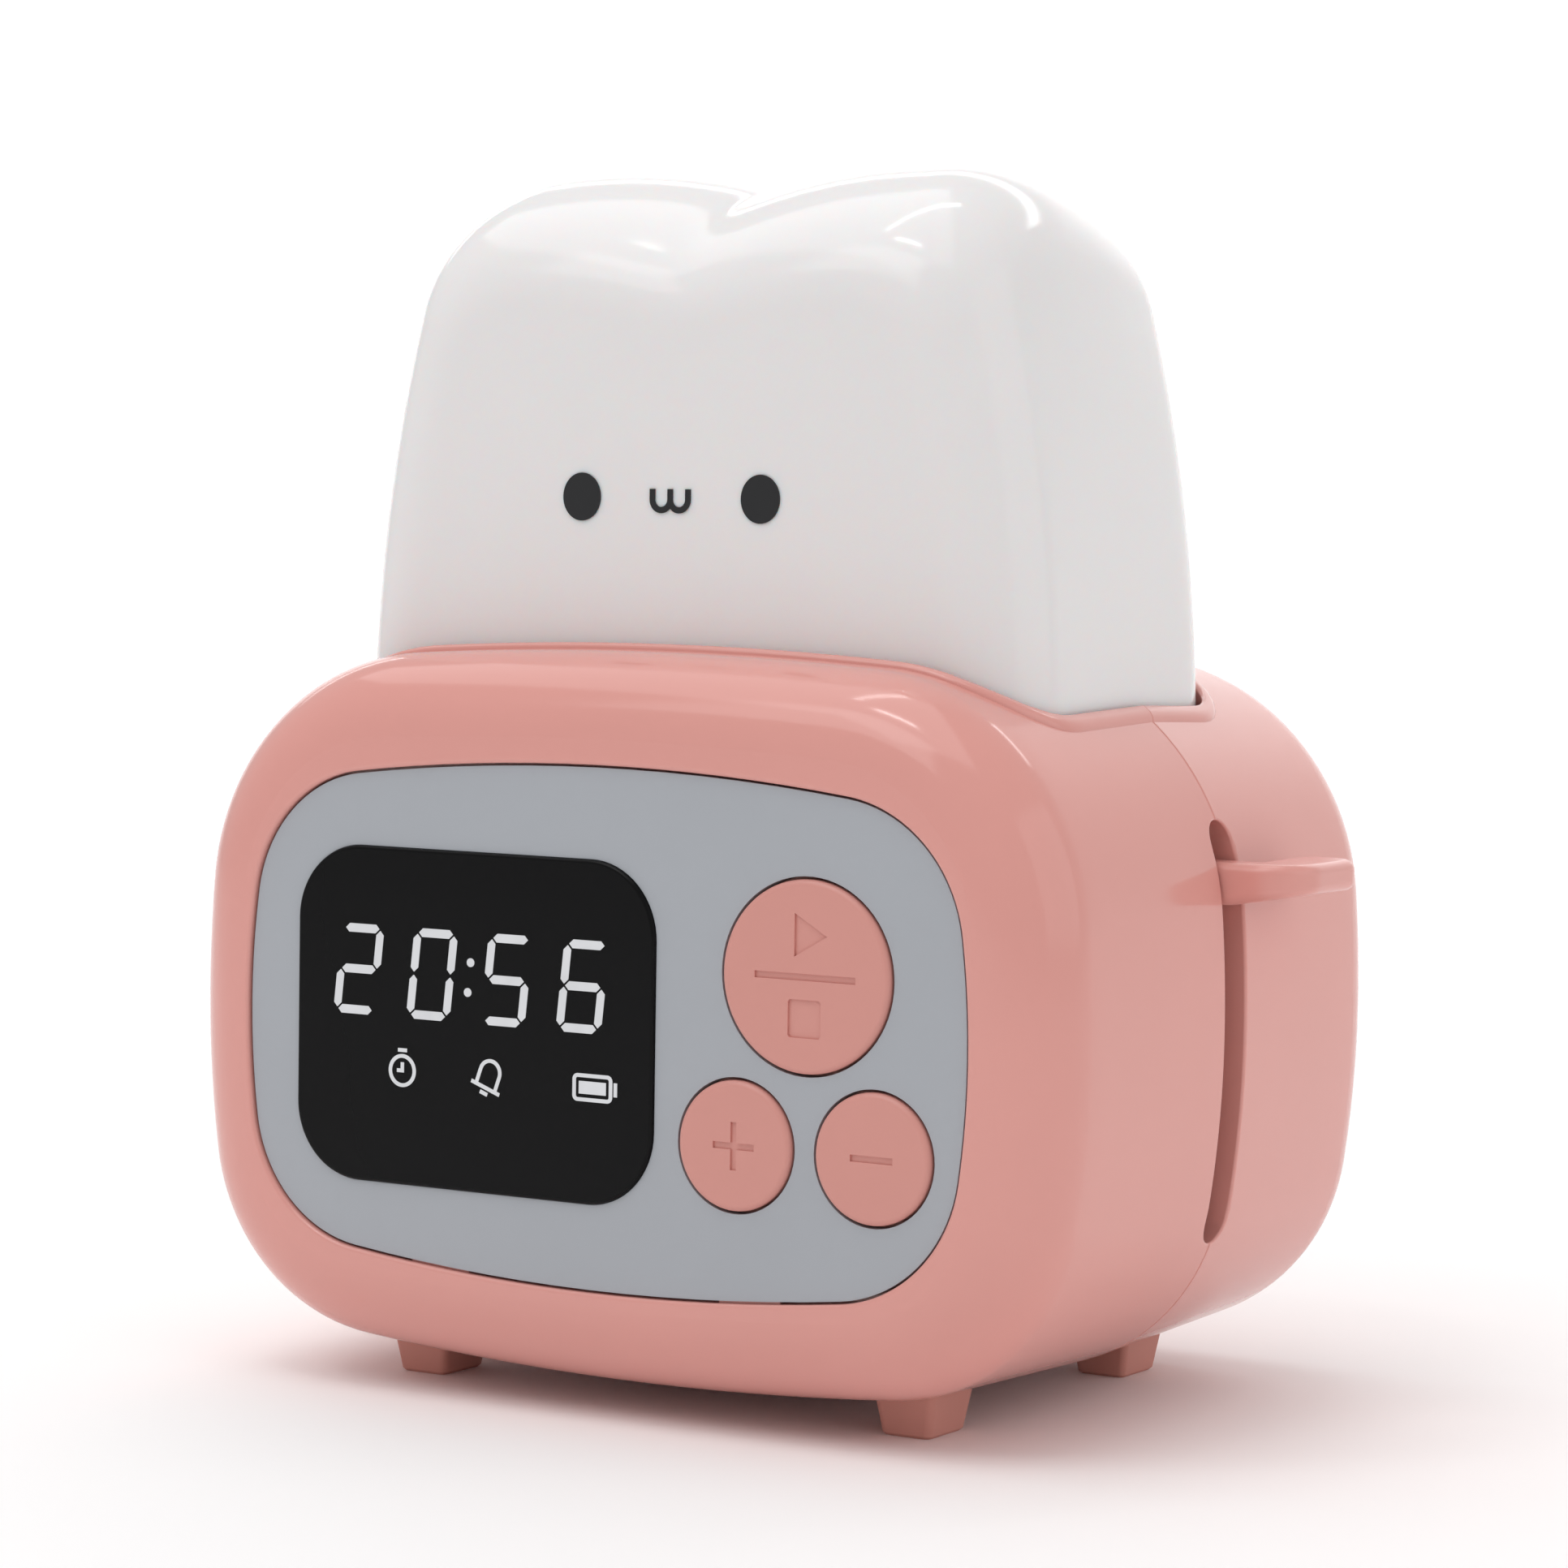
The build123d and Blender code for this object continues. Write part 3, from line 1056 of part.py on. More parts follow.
def end_plate(sx):
    """Side of the carriage: plate, sleeve on the guide rod and hook for the lift spring."""
    plate_x = tuple(sx * v for v in END_PLATE_X)
    plate = block(plate_x, END_PLATE_Y, (END_PLATE_LOW_Z, BASE_LOW_Z))
    sleeve = pillar(sx * ROD_X, 0, SLEEVE_R, SLEEVE_Z)
    web = block((plate_x[0], sx * ROD_X), (-SLEEVE_R, SLEEVE_R), SLEEVE_Z)
    hook_x = (END_PLATE_X[1] - WELD, SPRING_X + SPRING_R)
    hook = Pos(sx * sum(hook_x) / 2, SPRING_Y, SPRING_HOOK_Z) * Rot(0, 90, 0)
    hook = hook * Cylinder(SPRING_HOOK_R, hook_x[1] - hook_x[0])
    return plate + web + sleeve + hook


def make_lever():
    """Pink lever: a stem through the slot and a finger plate that sweeps to the back."""
    x0, x1 = LEVER_PAD_X
    front, back = -LEVER_HALF_T, LEVER_BACK_Y
    outline = [
        (LEVER_ROOT_X, front),
        (x1, front),
        (x1, back),
        (x0, back),
        (x0, LEVER_HALF_T),
        (LEVER_ROOT_X, LEVER_HALF_T),
    ]
    sketch = make_face(Polyline(*outline, close=True))
    sketch = round_corner(sketch, (x1, front), LEVER_FRONT_R)
    sketch = round_corner(sketch, (x1, back), LEVER_BACK_R)
    sketch = round_corner(sketch, (x0, back), LEVER_HEEL_R)
    lever = upward(sketch, LEVER_Z)
    slope = [
        (x0 - OVER, LEVER_Z[0]),
        (x1 + OVER, LEVER_Z[0] + LEVER_TIP_RISE),
        (x1 + OVER, LEVER_Z[0] - OVER),
        (x0 - OVER, LEVER_Z[0] - OVER),
    ]
    lever = lever - forward(make_face(Polyline(*slope, close=True)), back + OVER, front - OVER)
    level = [e for e in lever.edges() if abs(e.tangent_at(0.5).Z) < LEVER_LEVEL]
    lever = fillet([e for e in level if e.center().X > x0 + OVER], LEVER_EDGE_R)
    half = LEVER_ARM / 2 + PRESS_GAP
    socket_x = (LEVER_ROOT_X - OVER, LEVER_ARM_END_X + LEVER_SOCKET_GAP)
    return lever - block(socket_x, (-half, half), (LEVER_MID_Z - half, LEVER_MID_Z + half))


def round_corner(sketch, corner, radius):
    """Rounds the one corner of a sketch that lies at this place."""
    vertex = sketch.vertices().sort_by_distance((corner[0], corner[1], 0))[0]
    return fillet(vertex, radius)


def make_guide_rod(sx):
    return pillar(sx * ROD_X, 0, ROD_R, (ROD_LOW_Z, ROD_TOP_Z))


def make_lift_spring(sx):
    """Extension spring between the carriage's hook and the rear shell's lug."""
    low = SPRING_HOOK_Z + SPRING_HOOK_R + SPRING_END_GAP + SPRING_WIRE_R
    high = SPRING_TOP_Z - SPRING_WIRE_R
    pitch = (high - low) / SPRING_TURNS
    path = Helix(pitch=pitch, height=high - low, radius=SPRING_R)
    profile = Plane(origin=path @ 0, z_dir=path % 0) * Circle(SPRING_WIRE_R)
    return Pos(sx * SPRING_X, SPRING_Y, low) * sweep(profile, path=path, is_frenet=True)


def make_push_latch():
    w, d, h = LATCH_SIZE
    latch = block((-w / 2, w / 2), (LATCH_Y - d / 2, LATCH_Y + d / 2), (LATCH_LOW_Z, LATCH_LOW_Z + h))
    mouth_w, mouth_d = LATCH_MOUTH
    top = LATCH_LOW_Z + h
    mouth_y = (LATCH_Y - mouth_d / 2, LATCH_Y + mouth_d / 2)
    return latch - block((-mouth_w / 2, mouth_w / 2), mouth_y, (top - LATCH_MOUTH_DEPTH, top + OVER))


def make_latch_striker():
    post = pillar(0, LATCH_Y, STRIKER_R, (STRIKER_LOW_Z + STRIKER_TIP_L, CARRIAGE_LOW_Z))
    tip = pillar(0, LATCH_Y, STRIKER_TIP_R, (STRIKER_LOW_Z, STRIKER_LOW_Z + STRIKER_TIP_L))
    return post + tip


# ---------------------------------------------------------------- rear shell's contents
def make_battery_pack():
    w, d, h = BATTERY_SIZE
    sketch = Pos(BATTERY_X, BATTERY_Z) * RectangleRounded(w, h, BATTERY_CORNER_R)
    pack = forward(sketch, BATTERY_BACK_Y, BATTERY_BACK_Y - d)
    upright = pack.edges().filter_by(GeomType.LINE).filter_by(Axis.Z)
    return fillet(upright, BATTERY_EDGE_R)


def make_battery_pad():
    sketch = Pos(BATTERY_X, BATTERY_Z) * Rectangle(*BATTERY_PAD)
    return forward(sketch, REAR_WALL_Y, BATTERY_BACK_Y)


def make_speaker():
    back = REAR_WALL_Y - GASKET_T
    frame_part = barrel(SPEAKER_X, SPEAKER_Z, SPEAKER_R, (back - SPEAKER_T, back))
    cone = Rot(-90, 0, 0) * Cone(*SPEAKER_CONE_R, SPEAKER_CONE_DEPTH)
    cone = Pos(SPEAKER_X, back - SPEAKER_CONE_DEPTH / 2, SPEAKER_Z) * cone
    magnet_y = (back - SPEAKER_T - SPEAKER_MAGNET_T, back - SPEAKER_T + WELD)
    return frame_part - cone + barrel(SPEAKER_X, SPEAKER_Z, SPEAKER_MAGNET_R, magnet_y)


def make_speaker_gasket():
    y = (REAR_WALL_Y - GASKET_T, REAR_WALL_Y)
    ring = barrel(SPEAKER_X, SPEAKER_Z, SPEAKER_R, y)
    return ring - barrel(SPEAKER_X, SPEAKER_Z, SPEAKER_R - GASKET_W, (y[0] - OVER, y[1] + OVER))


def make_power_board():
    x = (-POWER_BOARD_HALF_W, POWER_BOARD_HALF_W)
    return block(x, POWER_BOARD_Y, (POWER_BOARD_Z, POWER_BOARD_Z + POWER_BOARD_T))


def make_usb_socket():
    """Type-C receptacle: a folded metal shell with the tongue inside."""
    mouth = REAR_Y - USB_SILL
    at = Pos(0, usb_z())
    case = forward(at * usb_sketch(0), mouth, mouth - USB_DEPTH)
    root = mouth - USB_DEPTH + USB_BACK_T
    case = case - forward(at * usb_sketch(-USB_SHELL_T), mouth + OVER, root)
    return case + forward(at * Rectangle(*USB_TONGUE), mouth - USB_TONGUE_SILL, root - WELD)


# ---------------------------------------------------------------- all nodes
def make_nodes():
    nodes = {
        "front_housing": make_front_housing(),
        "rear_housing": make_rear_housing(),
        "case_screws": make_case_screws(),
        "front_panel": make_front_panel(),
        "display_window": make_display_window(),
        "display_module": make_display_module(),
        "time_digits": make_time_digits(),
        "status_icons": make_status_icons(),
        "button_switches": make_button_switches(),
        "main_board": make_main_board(),
        "board_screws": make_board_screws(),
        "board_chips": make_board_chips(),
        "lamp_shade": make_lamp_shade(),
        "face_print": make_face_print(),
        "lamp_base": make_lamp_base(),
        "led_board": make_led_board(),
        "lamp_leds": make_lamp_leds(),
        "lamp_screws": make_lamp_screws(),
        "lift_carriage": make_lift_carriage(),
        "lever": make_lever(),
        "push_latch": make_push_latch(),
        "latch_striker": make_latch_striker(),
        "battery_pack": make_battery_pack(),
        "battery_pad": make_battery_pad(),
        "speaker": make_speaker(),
        "speaker_gasket": make_speaker_gasket(),
        "power_board": make_power_board(),
        "usb_socket": make_usb_socket(),
    }
    for name in BUTTONS:
        nodes[f"{name}_button"] = make_button(name)
        nodes[f"{name}_plunger"] = make_plunger(name)
    for label, sx in (("left", -1), ("right", 1)):
        nodes[f"guide_rod_{label}"] = make_guide_rod(sx)
        nodes[f"lift_spring_{label}"] = make_lift_spring(sx)
        nodes[f"foot_front_{label}"] = make_foot(sx, -1)
        nodes[f"foot_rear_{label}"] = make_foot(sx, 1)
    return nodes


os.makedirs("parts", exist_ok=True)
for node, shape in make_nodes().items():
    export_step(shape, f"parts/{node}.step")
    print(node, round(shape.volume, 1))
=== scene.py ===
# %% [markdown]
# # A toaster-shaped alarm clock with a bread-slice night light
# The construction is already there: a imported CAD frame with every piece at its real size.
# This lesson dresses it. The big moulded shells and the lamp are rebuilt as even, smooth grids,
# the small pieces keep their CAD shape, and every piece gets a real finish.
# The frame is loaded first, because each new piece has to ride on one of its bodies.

# %% Load the frame
import math

import bmesh
import bpy
from mathutils import Matrix, Vector


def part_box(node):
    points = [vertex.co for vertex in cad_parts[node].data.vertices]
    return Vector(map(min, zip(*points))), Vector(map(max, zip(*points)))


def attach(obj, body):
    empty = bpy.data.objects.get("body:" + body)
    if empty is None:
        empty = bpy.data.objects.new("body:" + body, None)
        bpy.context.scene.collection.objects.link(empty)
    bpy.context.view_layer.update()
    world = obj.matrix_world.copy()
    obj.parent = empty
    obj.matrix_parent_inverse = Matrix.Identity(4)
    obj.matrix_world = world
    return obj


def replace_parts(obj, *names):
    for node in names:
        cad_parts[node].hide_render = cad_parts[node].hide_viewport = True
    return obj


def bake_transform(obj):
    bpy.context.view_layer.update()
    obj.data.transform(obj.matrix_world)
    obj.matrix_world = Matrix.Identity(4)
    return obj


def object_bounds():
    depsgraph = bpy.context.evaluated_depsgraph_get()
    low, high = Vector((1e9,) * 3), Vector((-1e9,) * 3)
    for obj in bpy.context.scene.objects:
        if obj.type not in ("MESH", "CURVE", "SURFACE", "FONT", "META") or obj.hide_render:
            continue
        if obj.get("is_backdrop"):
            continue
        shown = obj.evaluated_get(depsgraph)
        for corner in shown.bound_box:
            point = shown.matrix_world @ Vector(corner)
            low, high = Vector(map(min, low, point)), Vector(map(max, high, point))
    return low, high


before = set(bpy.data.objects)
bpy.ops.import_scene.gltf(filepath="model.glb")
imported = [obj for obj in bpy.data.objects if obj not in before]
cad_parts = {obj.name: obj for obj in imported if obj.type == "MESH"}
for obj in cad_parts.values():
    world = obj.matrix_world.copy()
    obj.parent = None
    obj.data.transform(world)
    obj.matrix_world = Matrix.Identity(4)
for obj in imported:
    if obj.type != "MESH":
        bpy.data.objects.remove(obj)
cad_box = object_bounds()

# %% [markdown]
# ## Units
# Blender works in metres, and a product like this one is drawn in millimetres. The sizes below
# are in millimetres, and one factor turns them to metres where a mesh is made.

# %% Sizes that the shells and the lamp share with the frame
MM = 0.001
BODY_HALF_W = 62.7
BODY_HALF_D = 44.0
BODY_CENTRE_Z = 47.25
BODY_UPPER = (44.8, (31.9, 32.4, 32.9))    # height, and the corner: radius, centre inside side and top
BODY_LOWER = (44.3, (26.5, 27.7, 28.1))
DRAFT = math.tan(math.radians(1.5))
EDGE_R = 10.0
WALL = 2.2
SEAM = 0.22                                # chamfer of each shell along the parting line

PANEL_HALF_W = 50.5
PANEL_HALF = (30.9, (17.4, 18.2, 19.4))
PANEL_Z = 46.8
PANEL_GAP = 0.3
PANEL_BACK = 41.4                          # depth of the panel's back from the parting plane
LEDGE_BACK = 39.4
LEDGE_W = 2.4
RIM_W = 0.8

LAMP_Y = -2.2
LAMP_HALF_W = 48.4
LAMP_HALF_D = 26.0
LAMP_BASE_Z = 80.0
LAMP_TOP_Z = 150.2
LAMP_VALLEY_Z = 147.0
LAMP_SIDE_R = 240.0
LAMP_SHOULDER_R = 17.0
LAMP_SHOULDER_SHRINK = 0.3                 # share of the edges' drops
LAMP_SIDE_EDGE = 10.0
LAMP_TOP_DROP = 17.2                       # from the middle of the slice to a face
LAMP_VALLEY_DROP = 19.5
LAMP_SIDE_LEAN = 60.0                      # the side's arc has a smaller radius at the faces
LAMP_LOBE_X = 22.0
LAMP_WALL = 2.0

COLLAR_H = 0.7
COLLAR_IN = 0.6
COLLAR_OUT = 2.4
COLLAR_R = 0.7
SKIRT_LOW_Z = 79.5

SLOT_Z = (21.8, 72.2)
SLOT_HALF_W = 2.7
SLOT_RIB_T = 1.8
SLOT_RIB_X = 56.4
low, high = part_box("front_housing")
print("front shell in the frame, mm", [round(v / MM, 2) for v in (*low, *high)])

# %% [markdown]
# ## The camera and the light
# The camera stands where the product was seen from: a little to the right, almost level, with a
# long lens. Four soft boxes, two narrow strips and a bright surround give the even light of a
# product shot. They come first, so that every later step can be judged in the final view.

# %% Camera
CAMERA_AT = (310.44, -506.85, 109.41)
CAMERA_AIM = (25.84, -43.34, 76.91)
CAMERA_ROLL = math.radians(0.88)
CAMERA_LENS = 109.28


def aimed(at, aim):
    """Rotation that looks from one point in millimetres to another."""
    return (Vector(aim) - Vector(at)).to_track_quat("-Z", "Y").to_matrix().to_4x4()


camera = bpy.data.objects.new("camera", bpy.data.cameras.new("camera"))
bpy.context.scene.collection.objects.link(camera)
camera.data.lens = CAMERA_LENS
camera.data.sensor_width = 36
camera.data.clip_start = 0.01
turn = aimed(CAMERA_AT, CAMERA_AIM) @ Matrix.Rotation(CAMERA_ROLL, 4, "Z")
camera.matrix_world = Matrix.Translation(Vector(CAMERA_AT) * MM) @ turn
bpy.context.scene.camera = camera
bpy.context.scene.view_settings.view_transform = "Standard"
print("camera at, mm", CAMERA_AT)

# %% Colours and nodes
def srgb(code):
    """An sRGB hex colour as the linear colour that Blender's sockets take."""
    values = [int(code[i:i + 2], 16) / 255 for i in (1, 3, 5)]
    return [v / 12.92 if v <= 0.04045 else ((v + 0.055) / 1.055) ** 2.4 for v in values] + [1.0]


def add(tree, kind, inputs=None, **settings):
    """Adds a node. inputs maps a socket's name or number to a value or to another node's socket."""
    made = tree.nodes.new(kind)
    for key, value in settings.items():
        setattr(made, key, value)
    for key, value in (inputs or {}).items():
        if isinstance(value, bpy.types.NodeSocket):
            tree.links.new(value, made.inputs[key])
        else:
            made.inputs[key].default_value = value
    return made


def new_material(name):
    """An empty node material and its tree."""
    material = bpy.data.materials.new(name)
    material.use_nodes = True
    material.node_tree.nodes.clear()
    return material, material.node_tree


# %% Soft studio light
SURROUND = "#FFFFFF"
SURROUND_STRENGTH = 0.55
BOXES = {        # place and aim in millimetres, width, height, watts
    "top box": ((-230, -150, 1000), (0, 0, 80), 1400, 900, 4.1),
    "front box": ((-350, -950, 1100), (0, 0, 90), 900, 600, 2.1),
    "long strip": ((-150, 90, 900), (0, 0, 100), 620, 30, 0.45),
    "short strip": ((-90, -330, 860), (0, 0, 100), 220, 30, 0.3),
    "side box": ((1200, 100, 550), (0, 0, 70), 1300, 1000, 2.2),
    "backdrop box": ((-900, 1100, 950), (-900, 1400, 200), 2600, 300, 8.5),
}

world = bpy.data.worlds.new("studio surround")
bpy.context.scene.world = world
world.use_nodes = True
world.node_tree.nodes.clear()
sky = add(world.node_tree, "ShaderNodeBackground", {"Color": srgb(SURROUND), "Strength": SURROUND_STRENGTH})
add(world.node_tree, "ShaderNodeOutputWorld", {"Surface": sky.outputs[0]})
for name, (at, aim, width, height, watts) in BOXES.items():
    lamp = bpy.data.lights.new(name, "AREA")
    lamp.shape = "RECTANGLE"
    lamp.size = width * MM
    lamp.size_y = height * MM
    lamp.energy = watts
    holder = bpy.data.objects.new(name, lamp)
    bpy.context.scene.collection.objects.link(holder)
    holder.matrix_world = Matrix.Translation(Vector(at) * MM) @ aimed(at, aim)
print("soft boxes", len(BOXES))

# %% [markdown]
# ## Rings
# Both shells, the lamp, the collar and every cutting tool are the same thing: closed rings of
# points, joined one to the next. A grid of rings has even faces, so light slides over it without
# the streaks that a triangulated CAD surface shows.

# %% Meshes from rings
def link(name, mesh):
    piece = bpy.data.objects.new(name, mesh)
    bpy.context.scene.collection.objects.link(piece)
    return piece


def strips(row):
    """Faces across a ring whose second half is its first half mirrored, in reverse."""
    return [(row[k], row[k + 1], row[-k - 2], row[-k - 1]) for k in range(len(row) // 2 - 1)]


def ring_solid(name, rings, hoop=False, mirrored=False):
    """A closed solid through rings of points in millimetres. A hoop joins its last ring to its first."""
    count = len(rings[0])
    shape = bmesh.new()
    rows = [[shape.verts.new(Vector(p) * MM) for p in ring] for ring in rings]
    pairs = list(zip(rows, rows[1:] + rows[:1])) if hoop else list(zip(rows, rows[1:]))
    for row, following in pairs:
        for i in range(count):
            j = (i + 1) % count
            shape.faces.new((row[i], row[j], following[j], following[i]))
    for row in () if hoop else (rows[0], rows[-1]):
        for face in strips(row) if mirrored else [row]:
            shape.faces.new(face)
    bmesh.ops.recalc_face_normals(shape, faces=shape.faces)
    mesh = bpy.data.meshes.new(name)
    shape.to_mesh(mesh)
    shape.free()
    return link(name, mesh)


def baked(piece):
    """Turns what the modifiers make into the piece's own mesh."""
    depsgraph = bpy.context.evaluated_depsgraph_get()
    mesh = bpy.data.meshes.new_from_object(piece.evaluated_get(depsgraph))
    piece.modifiers.clear()
    piece.data = mesh
    return piece


def worked(piece, operation, tools):
    """Unites the piece with the tools, or cuts the tools out of it, and removes them."""
    for tool in tools:
        step = piece.modifiers.new(operation.lower(), "BOOLEAN")
        step.operation = operation
        step.solver = "EXACT"
        step.object = tool
    baked(piece)
    for tool in tools:
        bpy.data.objects.remove(tool)
    return piece


def open_edges(piece):
    """Edges that don't have two faces: a closed solid has none."""
    shape = bmesh.new()
    shape.from_mesh(piece.data)
    found = sum(1 for edge in shape.edges if not edge.is_manifold)
    shape.free()
    return found


def smoothed(piece, degrees=32):
    """Smooth shading that keeps edges sharper than this angle, weighted by the size of the faces."""
    piece.data.shade_smooth()
    piece.data.set_sharp_from_angle(angle=math.radians(degrees))
    even = piece.modifiers.new("even shading", "WEIGHTED_NORMAL")
    even.keep_sharp = True
    return piece


# %% [markdown]
# ## The outline of the body
# Seen from the front the body is a soft rounded rectangle: a slightly bulged side, a round corner
# and an almost flat crown in each quarter, all tangent. The grey panel has the same kind of
# outline. Because the arcs share their centres, the same point count at any inset gives matching
# rings, which is what the front needs where the body's outline runs over into the panel's pocket.

# %% Outlines of tangent arcs
ARC_STEPS = (6, 24, 8)                     # along the side, the corner and the crown of a quarter


def crown_centre(half_w, half_h, corner):
    """Height of the crown arc's centre, from the outline's middle."""
    radius, from_side, from_top = corner
    reach = math.hypot(half_w - from_side, half_h - from_top)
    return ((half_h - radius) ** 2 - reach ** 2) / (2 * (from_top - radius))


def quarter_arcs(half_w, half_h, corner, inset):
    """Centre, radius, first and last angle of the side, the corner and the crown."""
    radius, from_side, from_top = corner
    across, up = half_w - from_side, half_h - from_top
    side_x = crown_centre(half_h, half_w, (radius, from_top, from_side))
    crown_z = crown_centre(half_w, half_h, corner)
    side_end = math.atan2(up, across - side_x)
    crown_start = math.atan2(up - crown_z, across)
    return [
        ((side_x, 0), half_w - side_x - inset, 0, side_end),
        ((across, up), radius - inset, side_end, crown_start),
        ((0, crown_z), half_h - crown_z - inset, crown_start, math.pi / 2),
    ]


def along(arcs, steps):
    """Points along joined arcs, both ends included."""
    points = []
    for ((cx, cz), radius, start, end), count in zip(arcs, steps):
        for i in range(count):
            angle = start + (end - start) * i / count
            points.append((cx + radius * math.cos(angle), cz + radius * math.sin(angle)))
    (cx, cz), radius, _, end = arcs[-1]
    points.append((cx + radius * math.cos(end), cz + radius * math.sin(end)))
    return points


def outline(half_w, upper, lower, inset):
    """Ring in X and Z round all four quarters, starting at the right side and going up."""
    top = along(quarter_arcs(half_w, *upper, inset), ARC_STEPS)
    low = along(quarter_arcs(half_w, *lower, inset), ARC_STEPS)
    ring = top[:-1]
    ring += [(-x, z) for x, z in reversed(top)][:-1]
    ring += [(-x, -z) for x, z in low][:-1]
    ring += [(x, -z) for x, z in reversed(low)][:-1]
    return ring


def body_ring(inset, y):
    return [(x, y, z + BODY_CENTRE_Z) for x, z in outline(BODY_HALF_W, BODY_UPPER, BODY_LOWER, inset)]


def pocket_ring(grow, y):
    return [(x, y, z + PANEL_Z) for x, z in outline(PANEL_HALF_W, PANEL_HALF, PANEL_HALF, -grow)]


def surface_height(x, inset):
    """Height of the body's top over this x, with the outline moved inwards by inset."""
    _, (middle, corner_r, _, crown_start), (crown, crown_r, _, _) = quarter_arcs(
        BODY_HALF_W, *BODY_UPPER, inset)
    if abs(x) < crown_r * math.cos(crown_start):
        return BODY_CENTRE_Z + crown[1] + math.sqrt(crown_r ** 2 - x ** 2)
    return BODY_CENTRE_Z + middle[1] + math.sqrt(corner_r ** 2 - (abs(x) - middle[0]) ** 2)


def surface_side(z, inset):
    """How far out the body's side is at this height."""
    rise = z - BODY_CENTRE_Z
    quarter = BODY_UPPER if rise > 0 else BODY_LOWER
    (side, side_r, _, side_end), (middle, corner_r, _, _), _ = quarter_arcs(BODY_HALF_W, *quarter, inset)
    if abs(rise) < side_r * math.sin(side_end):
        return side[0] + math.sqrt(side_r ** 2 - rise ** 2)
    return middle[0] + math.sqrt(corner_r ** 2 - (abs(rise) - middle[1]) ** 2)


print("points in an outline", len(body_ring(0, 0)))

# %% [markdown]
# ## The two shells
# The real body is two injection-moulded shells that meet on a parting plane. Each is drafted so
# that it leaves its mould, has a large round edge, and a wall of even thickness. The profile
# below walks once round the wall: outside from the seam to the front, into the panel's pocket,
# over its ledge, and back along the inside. The front shell is a hoop, the rear shell is a cup.

# %% Profiles of the wall
EDGE_STEPS = 12
LIP_R = 0.45
LIP_STEPS = 4
SIDE_DEPTHS = (8, 16, 24, 31)


def edge_round(inset, radius):
    """Inset and depth of points round the end's edge, from the drafted side to the flat end."""
    slope = math.atan(DRAFT)
    centre = BODY_HALF_D - inset - radius
    centre_inset = inset + radius / math.cos(slope) + centre * DRAFT
    angles = [slope + (math.pi / 2 - slope) * i / EDGE_STEPS for i in range(EDGE_STEPS + 1)]
    return [(centre_inset - radius * math.cos(a), centre + radius * math.sin(a)) for a in angles]


def skin(inset, radius):
    """Inset and depth from the parting plane along the side and round the edge."""
    return [(inset + DRAFT * d, d) for d in SIDE_DEPTHS] + edge_round(inset, radius)


def between(ring, other, share):
    return [tuple(a + (b - a) * share for a, b in zip(p, q)) for p, q in zip(ring, other)]


outer = [(SEAM, 0), (DRAFT * SEAM, SEAM)] + skin(0, EDGE_R)
inner = [(WALL, 0)] + skin(WALL, EDGE_R - WALL)
print("rings of the outer skin", len(outer), "and of the inner", len(inner))

# %% Front shell as a hoop
FLAT_SHARES = (0.04, 0.5, 0.96)


def front_rings():
    lip_ends = PANEL_GAP + LIP_R
    rings = [body_ring(inset, -depth) for inset, depth in outer]
    rings += [between(rings[-1], pocket_ring(lip_ends, -BODY_HALF_D), s) for s in FLAT_SHARES]
    for i in range(LIP_STEPS + 1):
        angle = math.pi / 2 * i / LIP_STEPS
        grow = lip_ends - LIP_R * math.sin(angle)
        rings.append(pocket_ring(grow, -(BODY_HALF_D - LIP_R + LIP_R * math.cos(angle))))
    rings.append(pocket_ring(PANEL_GAP, -PANEL_BACK))
    rings.append(pocket_ring(-LEDGE_W, -PANEL_BACK))
    rings.append(pocket_ring(-LEDGE_W, -LEDGE_BACK))
    rings.append(pocket_ring(RIM_W, -LEDGE_BACK))
    rings.append(pocket_ring(RIM_W, -(BODY_HALF_D - WALL)))
    rings += [body_ring(inset, -depth) for inset, depth in reversed(inner)]
    return rings


front_shell = ring_solid("front_shell", front_rings(), hoop=True)
print("front shell faces", len(front_shell.data.polygons), "open edges", open_edges(front_shell))

# %% Rear shell as a cup
rear_rings = [body_ring(inset, depth) for inset, depth in reversed(inner)]
rear_rings += [body_ring(inset, depth) for inset, depth in outer]
rear_shell = ring_solid("rear_shell", rear_rings)
print("rear shell faces", len(rear_shell.data.polygons), "open edges", open_edges(rear_shell))

# %% [markdown]
# ## The collar round the lamp
# A raised bead frames the opening and turns down into a skirt inside the body. Its height follows
# the curved top, so it is swept along the opening's outline with a height worked out at each
# point. Each shell carries its half.

# %% Path and section of the collar
BEAD_STEPS = 6
CORNER_STEPS = 10
STRAIGHT_STEP = 1.6
OPENING_Z = (60.0, 120.0)                  # the cutting prism reaches past the wall on both sides
SAME_POINT = 0.01


def opening_path(side):
    """Points and outward directions along half of the opening, from the right seam to the left."""
    edge = LAMP_SIDE_EDGE
    corner_x = LAMP_HALF_W - edge
    corner_y = LAMP_Y + side * (LAMP_HALF_D - edge)
    count = math.ceil(abs(corner_y) / STRAIGHT_STEP)
    path = [((LAMP_HALF_W, corner_y * i / count), (1, 0)) for i in range(count)]
    for i in range(CORNER_STEPS):
        angle = side * math.pi / 2 * i / CORNER_STEPS
        out = (math.cos(angle), math.sin(angle))
        path.append(((corner_x + edge * out[0], corner_y + edge * out[1]), out))
    half = math.ceil(corner_x / STRAIGHT_STEP)
    front = [((corner_x * (1 - i / half), corner_y + side * edge), (0, side)) for i in range(half)]
    path += front + [((0, corner_y + side * edge), (0, side))]
    return path + [((-x, y), (-nx, ny)) for (x, y), (nx, ny) in reversed(path[:-1])]


